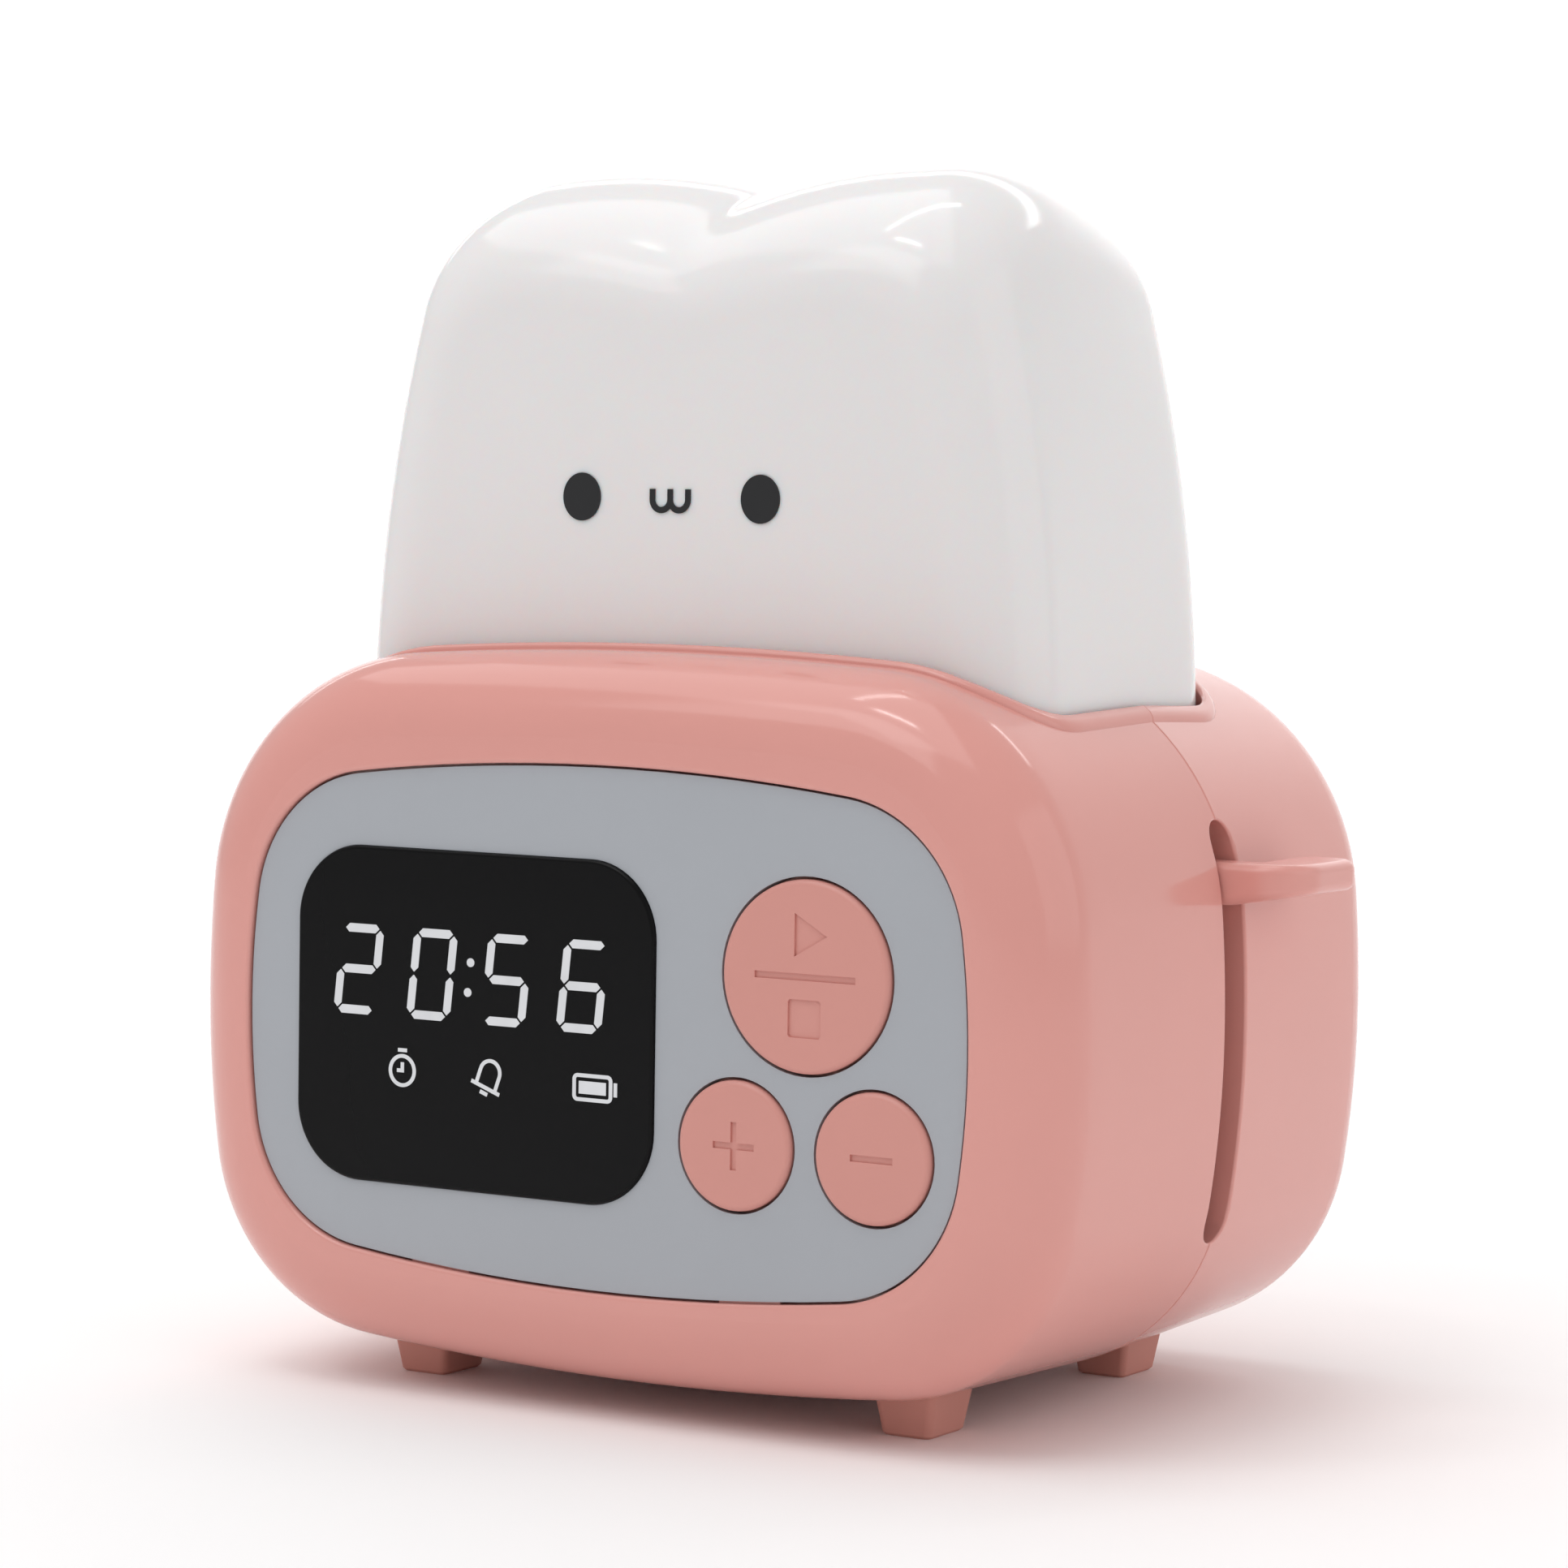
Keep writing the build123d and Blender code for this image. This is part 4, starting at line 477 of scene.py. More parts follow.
def fall(radius, depth):
    """How far a round edge of this radius has dropped, this deep inside its face."""
    return 0.0 if depth >= radius else radius - math.sqrt(radius ** 2 - (radius - depth) ** 2)


def collar_section(point, out, squeeze):
    """One closed section of the collar across its path, smaller by squeeze."""
    inner_g, outer_g = COLLAR_IN + squeeze, COLLAR_OUT - squeeze
    arc = [COLLAR_R * (1 - math.cos(math.pi / 2 * i / BEAD_STEPS)) for i in range(BEAD_STEPS + 1)]
    tops = [(outer_g - g, g) for g in arc] + [(inner_g + g, g) for g in reversed(arc)]
    section = [(inner_g, SKIRT_LOW_Z), (outer_g, SKIRT_LOW_Z)]
    for grow, depth in tops:
        x, y = point[0] + out[0] * grow, point[1] + out[1] * grow
        top = surface_height(x, abs(y) * DRAFT - COLLAR_H)
        section.append((grow, top - squeeze - fall(COLLAR_R, depth)))
    return [(point[0] + out[0] * g, point[1] + out[1] * g, z) for g, z in section]


def collar_half(side):
    """One shell's half of the collar, closed on the parting plane with a small chamfer."""
    path = opening_path(side)
    stops = [(path[0], SEAM / 2)]
    stops += [(((x, side * SEAM / 2), out), 0) for (x, _), out in path[:1]]
    stops += [(stop, 0) for stop in path[1:-1]]
    stops += [(((x, side * SEAM / 2), out), 0) for (x, _), out in path[-1:]]
    stops += [(path[-1], SEAM / 2)]
    return ring_solid("collar", [collar_section(point, out, squeeze) for (point, out), squeeze in stops])


def opening_tool(grow):
    """Upright prism of the lamp's opening."""
    plan = []
    for side in (-1, 1):
        half = [(x + nx * grow, y + ny * grow) for (x, y), (nx, ny) in opening_path(side)]
        plan += half if side < 0 else half[::-1]
    unique = [p for i, p in enumerate(plan) if math.dist(p, plan[i - 1]) > SAME_POINT]
    return ring_solid("opening", [[(x, y, z) for x, y in unique] for z in OPENING_Z])


CUT_IN_COLLAR = (COLLAR_IN + COLLAR_OUT) / 2
for shell, side in ((front_shell, -1), (rear_shell, 1)):
    worked(shell, "DIFFERENCE", [opening_tool(CUT_IN_COLLAR)])
    worked(shell, "UNION", [collar_half(side)])
    print(shell.name, "with collar, open edges", open_edges(shell))

# %% [markdown]
# ## The lever's slot
# The slot runs down the right side, half in each shell, with a rib round it on the inside. Its
# mouth has a small round lip. The cutting tool has that lip in its own shape: it widens just
# under the curved surface, so no bevel has to find the edge afterwards.

# %% Slot, with a lip that follows the curved side
SLOT_END_STEPS = 10
SLOT_SIDE_STEPS = 24
SLOT_RIB_TIP = 0.5                         # half-width left at the rib's two ends
SLOT_LIP_R = 0.4
TOOL_OUT = 3.0
TOOL_PAST_RIB = 1.0


def slot_half(grow):
    """Y and Z of half the slot's outline, going up. No point lies on the parting plane itself."""
    low_z, high_z = SLOT_Z[0] + SLOT_HALF_W, SLOT_Z[1] - SLOT_HALF_W
    radius = SLOT_HALF_W + grow
    angles = [math.pi / 2 * (i + 0.5) / SLOT_END_STEPS for i in range(SLOT_END_STEPS)]
    points = [(radius * math.sin(a), low_z - radius * math.cos(a)) for a in angles]
    for i in range(SLOT_SIDE_STEPS + 1):
        points.append((radius, low_z + (high_z - low_z) * i / SLOT_SIDE_STEPS))
    return points + [(radius * math.cos(a), high_z + radius * math.sin(a)) for a in angles]


def slot_outline(grow):
    half = slot_half(grow)
    return half + [(-y, z) for y, z in reversed(half)]


def slot_tool():
    rings = []
    profile = [(-TOOL_OUT, SLOT_LIP_R)]
    for i in range(LIP_STEPS + 1):
        angle = math.pi / 2 * i / LIP_STEPS
        profile.append((SLOT_LIP_R * (1 - math.cos(angle)), SLOT_LIP_R * (1 - math.sin(angle))))
    for depth, grow in profile:
        rings.append([(surface_side(z, abs(y) * DRAFT) - depth, y, z) for y, z in slot_outline(grow)])
    rings.append([(SLOT_RIB_X - TOOL_PAST_RIB, y, z) for y, z in slot_outline(0)])
    return ring_solid("slot", rings, mirrored=True)


def slot_rib(side):
    sections = []
    for y, z in slot_half(SLOT_RIB_T):
        reach = side * max(y, SLOT_RIB_TIP)
        outs = [surface_side(z, abs(v) * DRAFT) - WALL / 2 for v in (reach, 0)]
        sections.append([(SLOT_RIB_X, 0, z), (SLOT_RIB_X, reach, z), (outs[0], reach, z), (outs[1], 0, z)])
    return ring_solid("rib", sections)


for shell, side in ((front_shell, -1), (rear_shell, 1)):
    worked(shell, "UNION", [slot_rib(side)])
    worked(shell, "DIFFERENCE", [slot_tool()])
    print(shell.name, "with slot, open edges", open_edges(shell))

# %% [markdown]
# ## Holes in the back
# Behind the speaker the rear shell has a grille: rings of small round holes, 1, 6, 12 and 18 of
# them. A Geometry Nodes tree makes the drills for it, with the pitch and the sizes as inputs, and
# the drills cut the shell. The long case screws sit at the bottom of two deep wells, and a rounded
# opening leads to the charging socket.

# %% Helpers for Geometry Nodes
def group_with(name, inputs):
    """A geometry tree with named inputs, each with its socket type and default."""
    tree = bpy.data.node_groups.new(name, "GeometryNodeTree")
    tree.interface.new_socket("Geometry", in_out="OUTPUT", socket_type="NodeSocketGeometry")
    for label, (kind, value) in inputs.items():
        socket = tree.interface.new_socket(label, in_out="INPUT", socket_type=kind)
        if value is not None:
            socket.default_value = value
    return tree, add(tree, "NodeGroupInput").outputs


def made_by(tree, name, values):
    """A plain mesh piece that the tree makes with these values for its inputs."""
    piece = link(name, bpy.data.meshes.new(name))
    step = piece.modifiers.new(tree.name, "NODES")
    step.node_group = tree
    for item in tree.interface.items_tree:
        if item.in_out == "INPUT" and item.name in values:
            step[item.identifier] = values[item.name]
    return baked(piece)


# %% Tree of the grille's drills
GRILLE_AT = (27.0, 42.9, 58.0)
GRILLE_PITCH = 3.4
GRILLE_HOLE_R = 0.85
GRILLE_RINGS = 3
DRILL_L = 6.0
DRILL_SIDES = 20
drills, sizes = group_with("grille drills", {
    "Pitch": ("NodeSocketFloat", GRILLE_PITCH * MM), "Hole radius": ("NodeSocketFloat", GRILLE_HOLE_R * MM),
    "Length": ("NodeSocketFloat", DRILL_L * MM), "Place": ("NodeSocketVector", None),
    "Finish": ("NodeSocketMaterial", None)})
middle = add(drills, "GeometryNodePoints", {"Count": 1})
joined = add(drills, "GeometryNodeJoinGeometry", {0: middle.outputs[0]})
for ring in range(1, GRILLE_RINGS + 1):
    reach = add(drills, "ShaderNodeMath", {0: sizes["Pitch"], 1: float(ring)}, operation="MULTIPLY")
    around = add(drills, "GeometryNodeMeshCircle", {"Vertices": 6 * ring, "Radius": reach.outputs[0]})
    drills.links.new(around.outputs[0], joined.inputs[0])
drill = add(drills, "GeometryNodeMeshCylinder", {
    "Vertices": DRILL_SIDES, "Radius": sizes["Hole radius"], "Depth": sizes["Length"]})
spread = add(drills, "GeometryNodeInstanceOnPoints", {
    "Points": joined.outputs[0], "Instance": drill.outputs[0]})
turned = add(drills, "GeometryNodeTransform", {
    "Geometry": spread.outputs[0], "Translation": sizes["Place"], "Rotation": (math.pi / 2, 0, 0)})
real = add(drills, "GeometryNodeRealizeInstances", {"Geometry": turned.outputs[0]})
finished = add(drills, "GeometryNodeSetMaterial", {"Geometry": real.outputs[0], "Material": sizes["Finish"]})
add(drills, "NodeGroupOutput", {0: finished.outputs[0]})
print("drill tree nodes", len(drills.nodes))

# %% Grille, wells of the case screws and the socket's opening
SCREW_X = 22.0
SCREW_Z = 16.2
SCREW_SEAT_Y = 12.0
SCREW_BOSS_R = 4.2
SCREW_WELL_R = 2.6
SCREW_HOLE_R = 1.5
BOSS_END_Y = 42.9                          # inside the end wall
ROUND_STEPS = 32
USB_HALF_W = 4.77
USB_HALF_H = 1.93
USB_R = 1.5
USB_Z = 22.33
USB_STEPS = 6


def circle_ring(x, y, z, radius):
    angles = [2 * math.pi * i / ROUND_STEPS for i in range(ROUND_STEPS)]
    return [(x + radius * math.cos(a), y, z + radius * math.sin(a)) for a in angles]


def round_bar(x, z, radius, y_range):
    return ring_solid("bar", [circle_ring(x, y, z, radius) for y in y_range])


def socket_ring(y):
    ring = []
    for turn, (sx, sz) in enumerate(((1, 1), (-1, 1), (-1, -1), (1, -1))):
        for i in range(USB_STEPS + 1):
            angle = (turn + i / USB_STEPS) * math.pi / 2
            ring.append((sx * (USB_HALF_W - USB_R) + USB_R * math.cos(angle), y,
                         USB_Z + sz * (USB_HALF_H - USB_R) + USB_R * math.sin(angle)))
    return ring


for shell, side in ((front_shell, -1), (rear_shell, 1)):
    ends = (0.0, side * BOSS_END_Y)
    worked(shell, "UNION", [round_bar(x, SCREW_Z, SCREW_BOSS_R, ends) for x in (-SCREW_X, SCREW_X)])
    worked(shell, "DIFFERENCE", [round_bar(x, SCREW_Z, SCREW_HOLE_R, (-SCREW_SEAT_Y, BOSS_END_Y))
                                 for x in (-SCREW_X, SCREW_X)])
wells = [round_bar(x, SCREW_Z, SCREW_WELL_R, (SCREW_SEAT_Y, BODY_HALF_D + TOOL_OUT))
         for x in (-SCREW_X, SCREW_X)]
grille = made_by(drills, "grille drills", {
    "Pitch": GRILLE_PITCH * MM, "Hole radius": GRILLE_HOLE_R * MM, "Length": DRILL_L * MM,
    "Place": [v * MM for v in GRILLE_AT]})
opening = ring_solid("socket opening", [
    socket_ring(y) for y in (BODY_HALF_D - DRILL_L, BODY_HALF_D + TOOL_OUT)])
worked(rear_shell, "DIFFERENCE", [*wells, grille, opening])
print("rear shell with holes, open edges", open_edges(rear_shell))

# %% Smooth shading of the shells
for shell in (front_shell, rear_shell):
    smoothed(shell)
    print(shell.name, "faces", len(shell.data.polygons))

# %% [markdown]
# ## The bread-slice lamp
# The lamp is one thin milky shade in the shape of a slice of bread. In every cut parallel to its
# face the outline is built of tangent arcs: a long side arc, a shoulder, and a lobe that meets
# its mirror image in the valley. Towards both faces the sides draw in by a round edge, and the top
# drops along an ellipse. The valley drops a little more, which gives the soft dimple in front, and
# its crease is sharp in the middle of the slice and melts away at the faces.

# %% Outline of one cut through the lamp
LOBE_STEPS = (22, 30, 26)                  # along the side, the shoulder and the lobe
BASE_STEPS = 24
CREASE_R = 0.3
CREASE_MELT = 5.0                          # half-width that the crease melts to at the faces
CREASE_REACH = 22.0                        # depth from a face at which it is sharp


def inside_both(lobe, lobe_r, side, side_r, radius):
    """Centre of a circle of this radius that touches the lobe's and the side's circle from inside."""
    gap = math.dist(lobe, side)
    ux, uz = (side[0] - lobe[0]) / gap, (side[1] - lobe[1]) / gap
    reach = ((lobe_r - radius) ** 2 - (side_r - radius) ** 2 + gap ** 2) / (2 * gap)
    off = math.sqrt((lobe_r - radius) ** 2 - reach ** 2)
    return lobe[0] + ux * reach + uz * off, lobe[1] + uz * reach - ux * off


def lamp_arcs(depth, wall):
    """Arcs of the right half at this depth from the face, as centre, radius and two angles."""
    off_middle = 1 - depth / (LAMP_HALF_D - wall)
    share = 1 - math.sqrt(1 - off_middle ** 2)
    side_drop = fall(LAMP_SIDE_EDGE - wall, depth)
    top_drop = (LAMP_TOP_DROP - wall) * share
    top = LAMP_TOP_Z - wall - top_drop
    valley = LAMP_VALLEY_Z - wall - (LAMP_VALLEY_DROP - wall) * share
    dip = top - valley
    lobe_r = (LAMP_LOBE_X ** 2 + dip ** 2) / (2 * dip)
    lobe = (LAMP_LOBE_X, top - lobe_r)
    side_r = LAMP_SIDE_R - LAMP_SIDE_LEAN * off_middle ** 2
    side = (LAMP_HALF_W - wall - side_drop - side_r, LAMP_BASE_Z)
    radius = LAMP_SHOULDER_R - wall - LAMP_SHOULDER_SHRINK * (side_drop + top_drop)
    shoulder = inside_both(lobe, lobe_r, side, side_r, radius)
    side_end = math.atan2(shoulder[1] - side[1], shoulder[0] - side[0])
    lobe_start = math.atan2(shoulder[1] - lobe[1], shoulder[0] - lobe[0])
    valley_at = math.atan2(valley - lobe[1], -LAMP_LOBE_X)
    return [(side, side_r, 0, side_end), (shoulder, radius, side_end, lobe_start),
            (lobe, lobe_r, lobe_start, valley_at)]


def melted(points, arcs, depth):
    """The right half with its crease opened to a soft hollow, wider the nearer to a face."""
    (lobe_x, _), _, _, valley_at = arcs[-1]
    slope = -1 / math.tan(valley_at)
    width = CREASE_R + CREASE_MELT * (1 - min(depth / CREASE_REACH, 1)) ** 2
    soft = []
    for x, z in points:
        share = max(0.0, 1 - (x / lobe_x) ** 2) ** 2
        soft.append((x, z + slope * share * (math.hypot(x, width) - x)))
    return soft


def lamp_ring(y, depth, wall, base):
    """Closed ring of one cut: over both lobes, and back along the open bottom."""
    arcs = lamp_arcs(depth, wall)
    half = melted(along(arcs, LOBE_STEPS), arcs, wall + depth)
    ring = half[:-1] + [(-x, z) for x, z in reversed(half)]
    right = half[0][0]
    ring += [(right * (2 * i / BASE_STEPS - 1), base) for i in range(BASE_STEPS + 1)]
    return [(x, y, z) for x, z in ring]


# %% Rings from the front of the lamp to its back
LAMP_STATIONS = 30
FACE_SHARES = (0.5, 0.98)                  # rings inside a flat face, as shares of its outline
FACE_MIDDLE_Z = 105.0
CAVITY_LOW_Z = 76.0


def face_rings(ring):
    middle = (0, ring[0][1], FACE_MIDDLE_Z)
    return [[tuple(m + (p - m) * share for p, m in zip(point, middle)) for point in ring]
            for share in FACE_SHARES]


def lamp_solid(name, wall, base):
    half_d = LAMP_HALF_D - wall
    angles = [math.pi / 2 * i / LAMP_STATIONS for i in range(LAMP_STATIONS + 1)]
    depths = [half_d * (1 - math.cos(a)) for a in angles]
    front = [lamp_ring(LAMP_Y - half_d + d, d, wall, base) for d in depths]
    back = [lamp_ring(LAMP_Y + half_d - d, d, wall, base) for d in reversed(depths[:-1])]
    return ring_solid(name, face_rings(front[0]) + front + back + face_rings(back[-1])[::-1])


bread_lamp = lamp_solid("bread_lamp", 0, LAMP_BASE_Z)
worked(bread_lamp, "DIFFERENCE", [lamp_solid("cavity", LAMP_WALL, CAVITY_LOW_Z)])
smoothed(bread_lamp)
print("lamp faces", len(bread_lamp.data.polygons), "open edges", open_edges(bread_lamp))

# %% [markdown]
# ## The two lift springs
# Each side of the carriage hangs on a close-wound extension spring. A coil is a rule, so a
# Geometry Nodes tree makes it: a spiral curve, a round wire along it, and the material. The tree
# has the real sizes as inputs, and its result is turned into a plain mesh.

# %% Tree of a coil spring
SPRING_X = 52.0
SPRING_Y = 9.0
SPRING_Z = (56.05, 75.75)
SPRING_HEIGHT = SPRING_Z[1] - SPRING_Z[0]
SPRING_R = 1.4
SPRING_WIRE_R = 0.25
SPRING_TURNS = 20.0
TURN_STEPS = 20
WIRE_SIDES = 8


coil, sizes = group_with("coil spring", {
    "Turns": ("NodeSocketFloat", SPRING_TURNS), "Radius": ("NodeSocketFloat", SPRING_R * MM),
    "Height": ("NodeSocketFloat", SPRING_HEIGHT * MM),
    "Wire radius": ("NodeSocketFloat", SPRING_WIRE_R * MM),
    "Place": ("NodeSocketVector", None), "Finish": ("NodeSocketMaterial", None)})
spiral = add(coil, "GeometryNodeCurveSpiral", {
    "Resolution": TURN_STEPS, "Rotations": sizes["Turns"], "Start Radius": sizes["Radius"],
    "End Radius": sizes["Radius"], "Height": sizes["Height"]})
wire = add(coil, "GeometryNodeCurvePrimitiveCircle", {
    "Resolution": WIRE_SIDES, "Radius": sizes["Wire radius"]})
swept = add(coil, "GeometryNodeCurveToMesh", {
    "Curve": spiral.outputs[0], "Profile Curve": wire.outputs[0], "Fill Caps": True})
placed = add(coil, "GeometryNodeTransform", {"Geometry": swept.outputs[0], "Translation": sizes["Place"]})
round_wire = add(coil, "GeometryNodeSetShadeSmooth", {"Geometry": placed.outputs[0]})
real = add(coil, "GeometryNodeRealizeInstances", {"Geometry": round_wire.outputs[0]})
finished = add(coil, "GeometryNodeSetMaterial", {"Geometry": real.outputs[0], "Material": sizes["Finish"]})
add(coil, "NodeGroupOutput", {0: finished.outputs[0]})
print("spring tree nodes", len(coil.nodes))

# %% [markdown]
# ## Moulded plastics
# Most of the visible skin is injection-moulded plastic. Its pigment is even, with very slight
# clouding, and its feel comes from the mould: a spark-eroded steel surface leaves a fine, dense
# grain that spreads highlights softly. One function makes that finish, because the pieces differ
# in pigment, in how fine the grain is and in how far light enters, not in kind.

# %% Grain and pigment of a moulding
CLOUD_MM = 16.0
GLOSS_SWING = 0.03                         # how far the grain moves the roughness, either way


def moulded(name, colour, roughness, grain_mm, grain_depth_mm, clouding=0.02, depth_mm=0.0, ior=1.54):
    """Injection-moulded plastic; light enters it to about depth_mm."""
    material, tree = new_material(name)
    place = add(tree, "ShaderNodeTexCoord").outputs["Object"]
    cloud = add(tree, "ShaderNodeTexNoise", {"Vector": place, "Scale": 1 / (CLOUD_MM * MM), "Detail": 3.0})
    tone = add(tree, "ShaderNodeMapRange", {0: cloud.outputs[0], 3: 1 - clouding, 4: 1 + clouding})
    pigment = add(tree, "ShaderNodeVectorMath", {0: srgb(colour)[:3], 1: tone.outputs[0]},
                  operation="MULTIPLY")
    grain = add(tree, "ShaderNodeTexNoise", {"Vector": place, "Scale": 1 / (grain_mm * MM), "Detail": 2.0})
    bump = add(tree, "ShaderNodeBump", {"Height": grain.outputs[0], "Strength": 1.0,
                                        "Distance": grain_depth_mm * MM})
    gloss = add(tree, "ShaderNodeMapRange", {
        0: grain.outputs[0], 3: roughness - GLOSS_SWING, 4: roughness + GLOSS_SWING})
    shader = add(tree, "ShaderNodeBsdfPrincipled", {
        "Base Color": pigment.outputs[0], "Roughness": gloss.outputs[0], "Normal": bump.outputs[0],
        "IOR": ior, "Subsurface Weight": 1.0 if depth_mm else 0.0,
        "Subsurface Radius": (1.0, 0.6, 0.5), "Subsurface Scale": depth_mm * MM})
    add(tree, "ShaderNodeOutputMaterial", {"Surface": shader.outputs[0]})
    return material


# %% The pink, grey and white mouldings
# ABS moulded against a very fine texture: a satin skin that still shows the strips as clear lines.
satin_pink_abs = moulded("satin ABS, pink", "#DE9B92", 0.13, 0.4, 0.0005)
# The keys come from a finer texture, so that they feel silky and show almost no highlight.
silky_pink_abs = moulded("silky ABS, pink", "#D59389", 0.4, 0.35, 0.0012)
# The lever comes from its own mould, which leaves a slightly softer highlight on its pad.
smooth_pink_abs = moulded("smooth ABS, pink", "#DE9B92", 0.25, 0.5, 0.0008)
# The feet are a soft thermoplastic rubber, and matt. Their pink is darker and deeper than the shell's:
# painted shade for the shadow under the body.
pink_rubber_with_painted_shade = moulded("thermoplastic rubber, pink", "#CF9184", 0.6, 0.5, 0.006, clouding=0.03)
# The face plate is ABS with a fine matt grain in a cool light grey.
matt_grey_abs = moulded("matt ABS, cool grey", "#A9ADB3", 0.5, 0.4, 0.004)
# Carriage, base, latch and plungers are undyed ABS and acetal, left as they leave the mould.
natural_abs = moulded("natural ABS, off-white", "#E9E6DE", 0.42, 0.8, 0.004, clouding=0.03)
# The module's housing behind the window is black ABS, to keep light from leaking.
black_abs = moulded("matt ABS, black", "#1B1B1C", 0.5, 0.4, 0.004)
# Milky polypropylene: light enters and spreads, so the slice looks soft and evenly white.
milky_pp = moulded("milky polypropylene, white", "#EAE8E8", 0.12, 0.9, 0.0006, clouding=0.01, depth_mm=1.5,
                   ior=1.49)

# %% [markdown]
# ## The dark window and what shines through it
# The window is smoked acrylic: polished, almost black, with a clear reflection. Behind it are
# white segments that glow, so they get an emission of their own.

# %% Smoked acrylic
# Cast smoked sheet is optically smooth, and its anti-reflection coat keeps the white table out of it.
WINDOW_GLOSS = (0.16, 0.24)
smoked_acrylic, tree = new_material("smoked acrylic, anti-reflection coated")
place = add(tree, "ShaderNodeTexCoord").outputs["Object"]
wave = add(tree, "ShaderNodeTexNoise", {"Vector": place, "Scale": 1 / (30 * MM), "Detail": 1.0})
ripple = add(tree, "ShaderNodeBump", {"Height": wave.outputs[0], "Strength": 1.0, "Distance": 0.02 * MM})
smudge = add(tree, "ShaderNodeTexNoise", {"Vector": place, "Scale": 1 / (9 * MM), "Detail": 4.0})
gloss = add(tree, "ShaderNodeMapRange", {
    0: smudge.outputs[0], 3: WINDOW_GLOSS[0], 4: WINDOW_GLOSS[1]})
shader = add(tree, "ShaderNodeBsdfPrincipled", {
    "Base Color": srgb("#0C0C0D"), "Roughness": gloss.outputs[0], "Normal": ripple.outputs[0], "IOR": 1.49,
    "Specular IOR Level": 0.12})
add(tree, "ShaderNodeOutputMaterial", {"Surface": shader.outputs[0]})

# %% Lit segments
# White LEDs behind a diffusing film: an even cool-white glow with a very faint unevenness.
GLOW = 0.62
GLOW_SHARES = (0.92, 1.08)
lit_film, tree = new_material("diffusing film, lit white")
place = add(tree, "ShaderNodeTexCoord").outputs["Object"]
patch = add(tree, "ShaderNodeTexNoise", {"Vector": place, "Scale": 1 / (2.5 * MM), "Detail": 1.0})
power = add(tree, "ShaderNodeMapRange", {
    0: patch.outputs[0], 3: GLOW * GLOW_SHARES[0], 4: GLOW * GLOW_SHARES[1]})
shader = add(tree, "ShaderNodeBsdfPrincipled", {
    "Base Color": srgb("#3A3B3D"), "Roughness": 0.5, "Emission Color": srgb("#FBFCFF"),
    "Emission Strength": power.outputs[0]})
add(tree, "ShaderNodeOutputMaterial", {"Surface": shader.outputs[0]})

# %% [markdown]
# ## The printed face
# The eyes and the mouth are pad-printed: a silicone pad presses a thin film of ink on the shade.
# The ink dries to a soft gloss, and its body is slightly uneven, which a fine bump shows.

# %% Pad-printed ink
printed_ink, tree = new_material("pad-printed ink, black")
place = add(tree, "ShaderNodeTexCoord").outputs["Object"]
film = add(tree, "ShaderNodeTexNoise", {"Vector": place, "Scale": 1 / (0.6 * MM), "Detail": 2.0})
body = add(tree, "ShaderNodeBump", {"Height": film.outputs[0], "Strength": 1.0, "Distance": 0.004 * MM})
shader = add(tree, "ShaderNodeBsdfPrincipled", {
    "Base Color": srgb("#121316"), "Roughness": 0.34, "Normal": body.outputs[0], "IOR": 1.5})
add(tree, "ShaderNodeOutputMaterial", {"Surface": shader.outputs[0]})

# %% [markdown]
# ## What is inside
# The inner pieces show when the lamp is up and through the slot, and when a reader takes the
# clock apart. Boards are glass-epoxy under a green solder mask, with tracks that stand out as a
# lighter green. Steel is drawn, ground or zinc-plated, and each way of working leaves its lines.

# %% Circuit boards
# The mask is a glossy varnish over copper: tracks show lighter and a hair higher than the rest.
TRACK_MM = 2.2
solder_mask, tree = new_material("glass-epoxy board, green solder mask")
place = add(tree, "ShaderNodeTexCoord").outputs["Object"]
tracks = add(tree, "ShaderNodeTexBrick", {"Vector": place, "Scale": 1 / (TRACK_MM * MM), "Mortar Size": 0.06,
                                          "Color1": srgb("#0E5A38"), "Color2": srgb("#0C5233"),
                                          "Mortar": srgb("#2E8A57")})
rise = add(tree, "ShaderNodeBump", {"Height": tracks.outputs["Fac"], "Strength": 1.0, "Distance": 0.03 * MM})
shader = add(tree, "ShaderNodeBsdfPrincipled", {
    "Base Color": tracks.outputs["Color"], "Roughness": 0.25, "Normal": rise.outputs[0], "IOR": 1.5})
add(tree, "ShaderNodeOutputMaterial", {"Surface": shader.outputs[0]})


# %% Metals
TOOL_MARK_SWING = 0.08                     # how far the tool marks move the roughness, either way


def worked_metal(name, colour, roughness, lines, depth_mm):
    """Metal whose tool marks are noise stretched by lines, in repeats per millimetre on each axis."""
    material, tree = new_material(name)
    place = add(tree, "ShaderNodeTexCoord").outputs["Object"]
    stretched = add(tree, "ShaderNodeMapping", {"Vector": place, "Scale": [n / MM for n in lines]})
    marks = add(tree, "ShaderNodeTexNoise", {"Vector": stretched.outputs[0], "Scale": 1.0, "Detail": 3.0})
    bump = add(tree, "ShaderNodeBump", {
        "Height": marks.outputs[0], "Strength": 1.0, "Distance": depth_mm * MM})
    gloss = add(tree, "ShaderNodeMapRange", {
        0: marks.outputs[0], 3: roughness - TOOL_MARK_SWING, 4: roughness + TOOL_MARK_SWING})
    shader = add(tree, "ShaderNodeBsdfPrincipled", {
        "Base Color": srgb(colour), "Metallic": 1.0, "Roughness": gloss.outputs[0],
        "Normal": bump.outputs[0]})
    add(tree, "ShaderNodeOutputMaterial", {"Surface": shader.outputs[0]})
    return material


# Zinc plating is bright but slightly cloudy, with a bluish cast.
zinc_plate = worked_metal("zinc-plated steel", "#C3C8CC", 0.34, (2.0, 2.0, 2.0), 0.004)
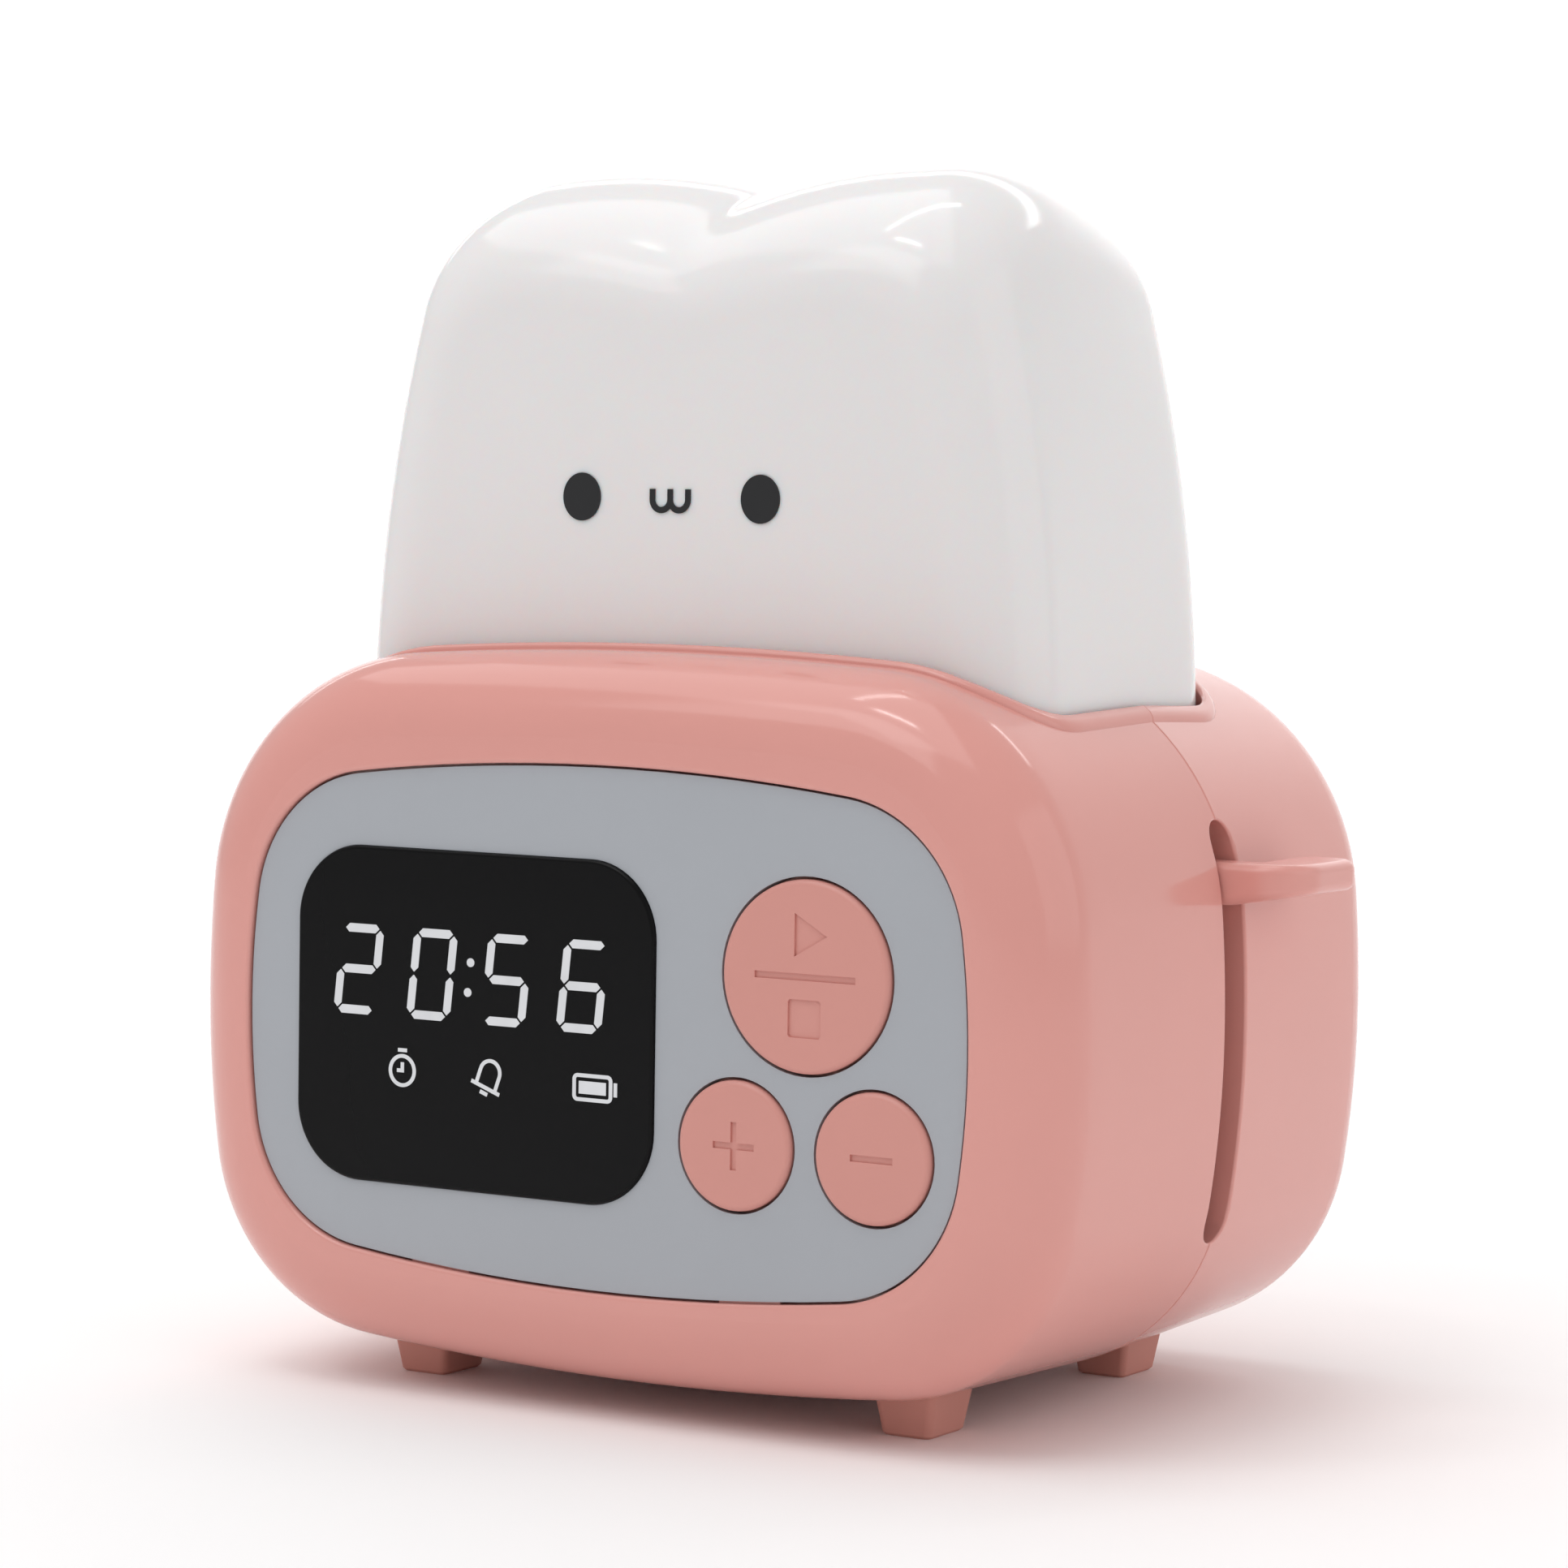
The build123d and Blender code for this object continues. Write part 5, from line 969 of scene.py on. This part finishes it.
# A centreless-ground rod has very fine rings round it.
ground_steel = worked_metal("ground steel", "#C9C9C8", 0.22, (0.4, 0.4, 9.0), 0.002)
# Spring wire is drawn and left hard and bright.
spring_wire = worked_metal("drawn spring wire", "#B9B7B3", 0.3, (3.0, 3.0, 3.0), 0.003)
# The socket's shell is rolled sheet with a tin plate.
tin_plate = worked_metal("tin-plated sheet steel", "#CFCFCB", 0.28, (1.0, 6.0, 1.0), 0.002)

# %% Epoxy, phosphor, film and foam
# Chips and switches are moulded epoxy: dark grey, dull, with a faint sandy grain.
moulded_epoxy = moulded("moulded epoxy, black", "#222224", 0.55, 0.3, 0.005, ior=1.56)
# The LED's dome of silicone is yellow with phosphor when it is off.
phosphor = moulded("phosphor silicone, yellow", "#F0DE8E", 0.3, 0.4, 0.002, depth_mm=0.4, ior=1.42)
# Shrink film round the cells is thin, glossy PVC, drawn tight.
shrink_film = moulded("shrink film, blue", "#2C5FA8", 0.22, 1.8, 0.03, clouding=0.04, ior=1.53)

closed_foam, tree = new_material("closed-cell foam, black")
place = add(tree, "ShaderNodeTexCoord").outputs["Object"]
cells = add(tree, "ShaderNodeTexVoronoi", {"Vector": place, "Scale": 1 / (0.5 * MM)})
pores = add(tree, "ShaderNodeBump", {"Height": cells.outputs["Distance"], "Strength": 1.0,
                                     "Distance": 0.12 * MM})
shader = add(tree, "ShaderNodeBsdfPrincipled", {
    "Base Color": srgb("#2A2A2B"), "Roughness": 0.9, "Normal": pores.outputs[0], "Sheen Weight": 0.3})
add(tree, "ShaderNodeOutputMaterial", {"Surface": shader.outputs[0]})

# %% Speaker cone
# A paper cone is pressed in fine concentric ripples round the dust cap.
SPEAKER_AT = (27.0, 0.0, 58.0)
pressed_paper, tree = new_material("pressed paper cone, black")
place = add(tree, "ShaderNodeTexCoord").outputs["Object"]
centred = add(tree, "ShaderNodeVectorMath", {0: place, 1: [v * MM for v in SPEAKER_AT]}, operation="SUBTRACT")
rings = add(tree, "ShaderNodeTexWave", {"Vector": centred.outputs[0], "Scale": 1 / (8 * MM)},
            wave_type="RINGS", rings_direction="Y")
ripple = add(tree, "ShaderNodeBump", {"Height": rings.outputs[1], "Strength": 1.0, "Distance": 0.15 * MM})
shader = add(tree, "ShaderNodeBsdfPrincipled", {
    "Base Color": srgb("#202021"), "Roughness": 0.7, "Normal": ripple.outputs[0]})
add(tree, "ShaderNodeOutputMaterial", {"Surface": shader.outputs[0]})

# %% [markdown]
# ## Dressing the frame
# Each piece that was made here gets its finish, the shells and the lamp also the body that they
# ride on, and the CAD node that it stands for is hidden. The other nodes keep their CAD shape and only
# change their finish.

# %% Own pieces ride and replace
def dress(piece, material):
    piece.data.materials.clear()
    piece.data.materials.append(material)
    return piece


dress(front_shell, satin_pink_abs)
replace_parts(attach(front_shell, "root"), "front_housing")
dress(rear_shell, satin_pink_abs)
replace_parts(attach(rear_shell, "root"), "rear_housing")
dress(bread_lamp, milky_pp)
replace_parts(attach(bread_lamp, "lamp_carriage"), "lamp_shade")

# %% Springs between the body and the carriage
for side, name in ((-1, "left"), (1, "right")):
    spring = made_by(coil, "coil_spring_" + name, {
        "Turns": SPRING_TURNS, "Radius": SPRING_R * MM, "Height": SPRING_HEIGHT * MM,
        "Wire radius": SPRING_WIRE_R * MM, "Finish": spring_wire,
        "Place": [side * SPRING_X * MM, SPRING_Y * MM, SPRING_Z[0] * MM]})
    ends = [(side * SPRING_X * MM, SPRING_Y * MM, z * MM) for z in SPRING_Z]
    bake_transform(spring)
    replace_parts(spring, "lift_spring_" + name)
    print(spring.name, "faces", len(spring.data.polygons))

# %% Finishes of the CAD pieces
FINISHES = [
    (matt_grey_abs, ("front_panel",)),
    (smoked_acrylic, ("display_window",)),
    (black_abs, ("display_module",)),
    (lit_film, ("time_digits", "status_icons")),
    (silky_pink_abs, ("start_stop_button", "minute_button", "second_button")),
    (smooth_pink_abs, ("lever",)),
    # The feet's darker pink is painted shade for the shadow under the body.
    (pink_rubber_with_painted_shade, ("foot_front_left", "foot_front_right", "foot_rear_left", "foot_rear_right")),
    (printed_ink, ("face_print",)),
    (natural_abs, ("lift_carriage", "lamp_base", "push_latch", "latch_striker", "start_stop_plunger",
                   "minute_plunger", "second_plunger")),
    (solder_mask, ("main_board", "led_board", "power_board")),
    (moulded_epoxy, ("board_chips", "button_switches")),
    (phosphor, ("lamp_leds",)),
    (zinc_plate, ("case_screws", "board_screws", "lamp_screws")),
    (ground_steel, ("guide_rod_left", "guide_rod_right")),
    (tin_plate, ("usb_socket",)),
    (shrink_film, ("battery_pack",)),
    (closed_foam, ("battery_pad", "speaker_gasket")),
    (pressed_paper, ("speaker",)),
]
for material, names in FINISHES:
    for name in names:
        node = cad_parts[name]
        for i in range(len(node.data.materials)):
            node.data.materials[i] = material
        if not node.data.materials:
            node.data.materials.append(material)
print("CAD pieces with a finish", sum(len(names) for _, names in FINISHES))

# %% Foam pieces
# The battery's pad and the speaker's ring are cut from foam sheet and fill their gaps tightly.
for name in ("battery_pad", "speaker_gasket"):
    print(name, "is foam")

# %% [markdown]
# ## The floor
# A sheet of white paper curves up behind the product, so there is no horizon.

# %% Paper sweep
SWEEP_HALF_W = 3000.0
SWEEP_FRONT = -3000.0
SWEEP_BACK = 1500.0
SWEEP_R = 900.0
SWEEP_TOP = 3000.0
SWEEP_STEPS = 24
paper, tree = new_material("matt white paper")
place = add(tree, "ShaderNodeTexCoord").outputs["Object"]
fibre = add(tree, "ShaderNodeTexNoise", {"Vector": place, "Scale": 1 / (2 * MM), "Detail": 3.0})
tooth = add(tree, "ShaderNodeBump", {"Height": fibre.outputs[0], "Strength": 0.3, "Distance": 0.05 * MM})
shader = add(tree, "ShaderNodeBsdfPrincipled", {
    "Base Color": srgb("#FCFBFB"), "Roughness": 0.85, "Normal": tooth.outputs[0]})
add(tree, "ShaderNodeOutputMaterial", {"Surface": shader.outputs[0]})

profile = [(SWEEP_FRONT, 0), (SWEEP_BACK - SWEEP_R, 0)]
for i in range(1, SWEEP_STEPS + 1):
    angle = math.pi / 2 * i / SWEEP_STEPS
    profile.append((SWEEP_BACK - SWEEP_R + SWEEP_R * math.sin(angle), SWEEP_R - SWEEP_R * math.cos(angle)))
profile.append((SWEEP_BACK, SWEEP_TOP))
shape = bmesh.new()
rows = [[shape.verts.new(Vector((x, y, z)) * MM) for x in (-SWEEP_HALF_W, SWEEP_HALF_W)] for y, z in profile]
for row, following in zip(rows, rows[1:]):
    shape.faces.new((row[0], row[1], following[1], following[0]))
mesh = bpy.data.meshes.new("paper_sweep")
shape.to_mesh(mesh)
shape.free()
paper_sweep = link("paper_sweep", mesh)
paper_sweep.data.shade_smooth()
dress(paper_sweep, paper)
paper_sweep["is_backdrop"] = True

# %% Sizes of the frame and of the dressed model
model_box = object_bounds()
for label, corners in (("CAD", cad_box), ("model", model_box)):
    print(label, "box, mm", [[round(v / MM, 2) for v in corner] for corner in corners])
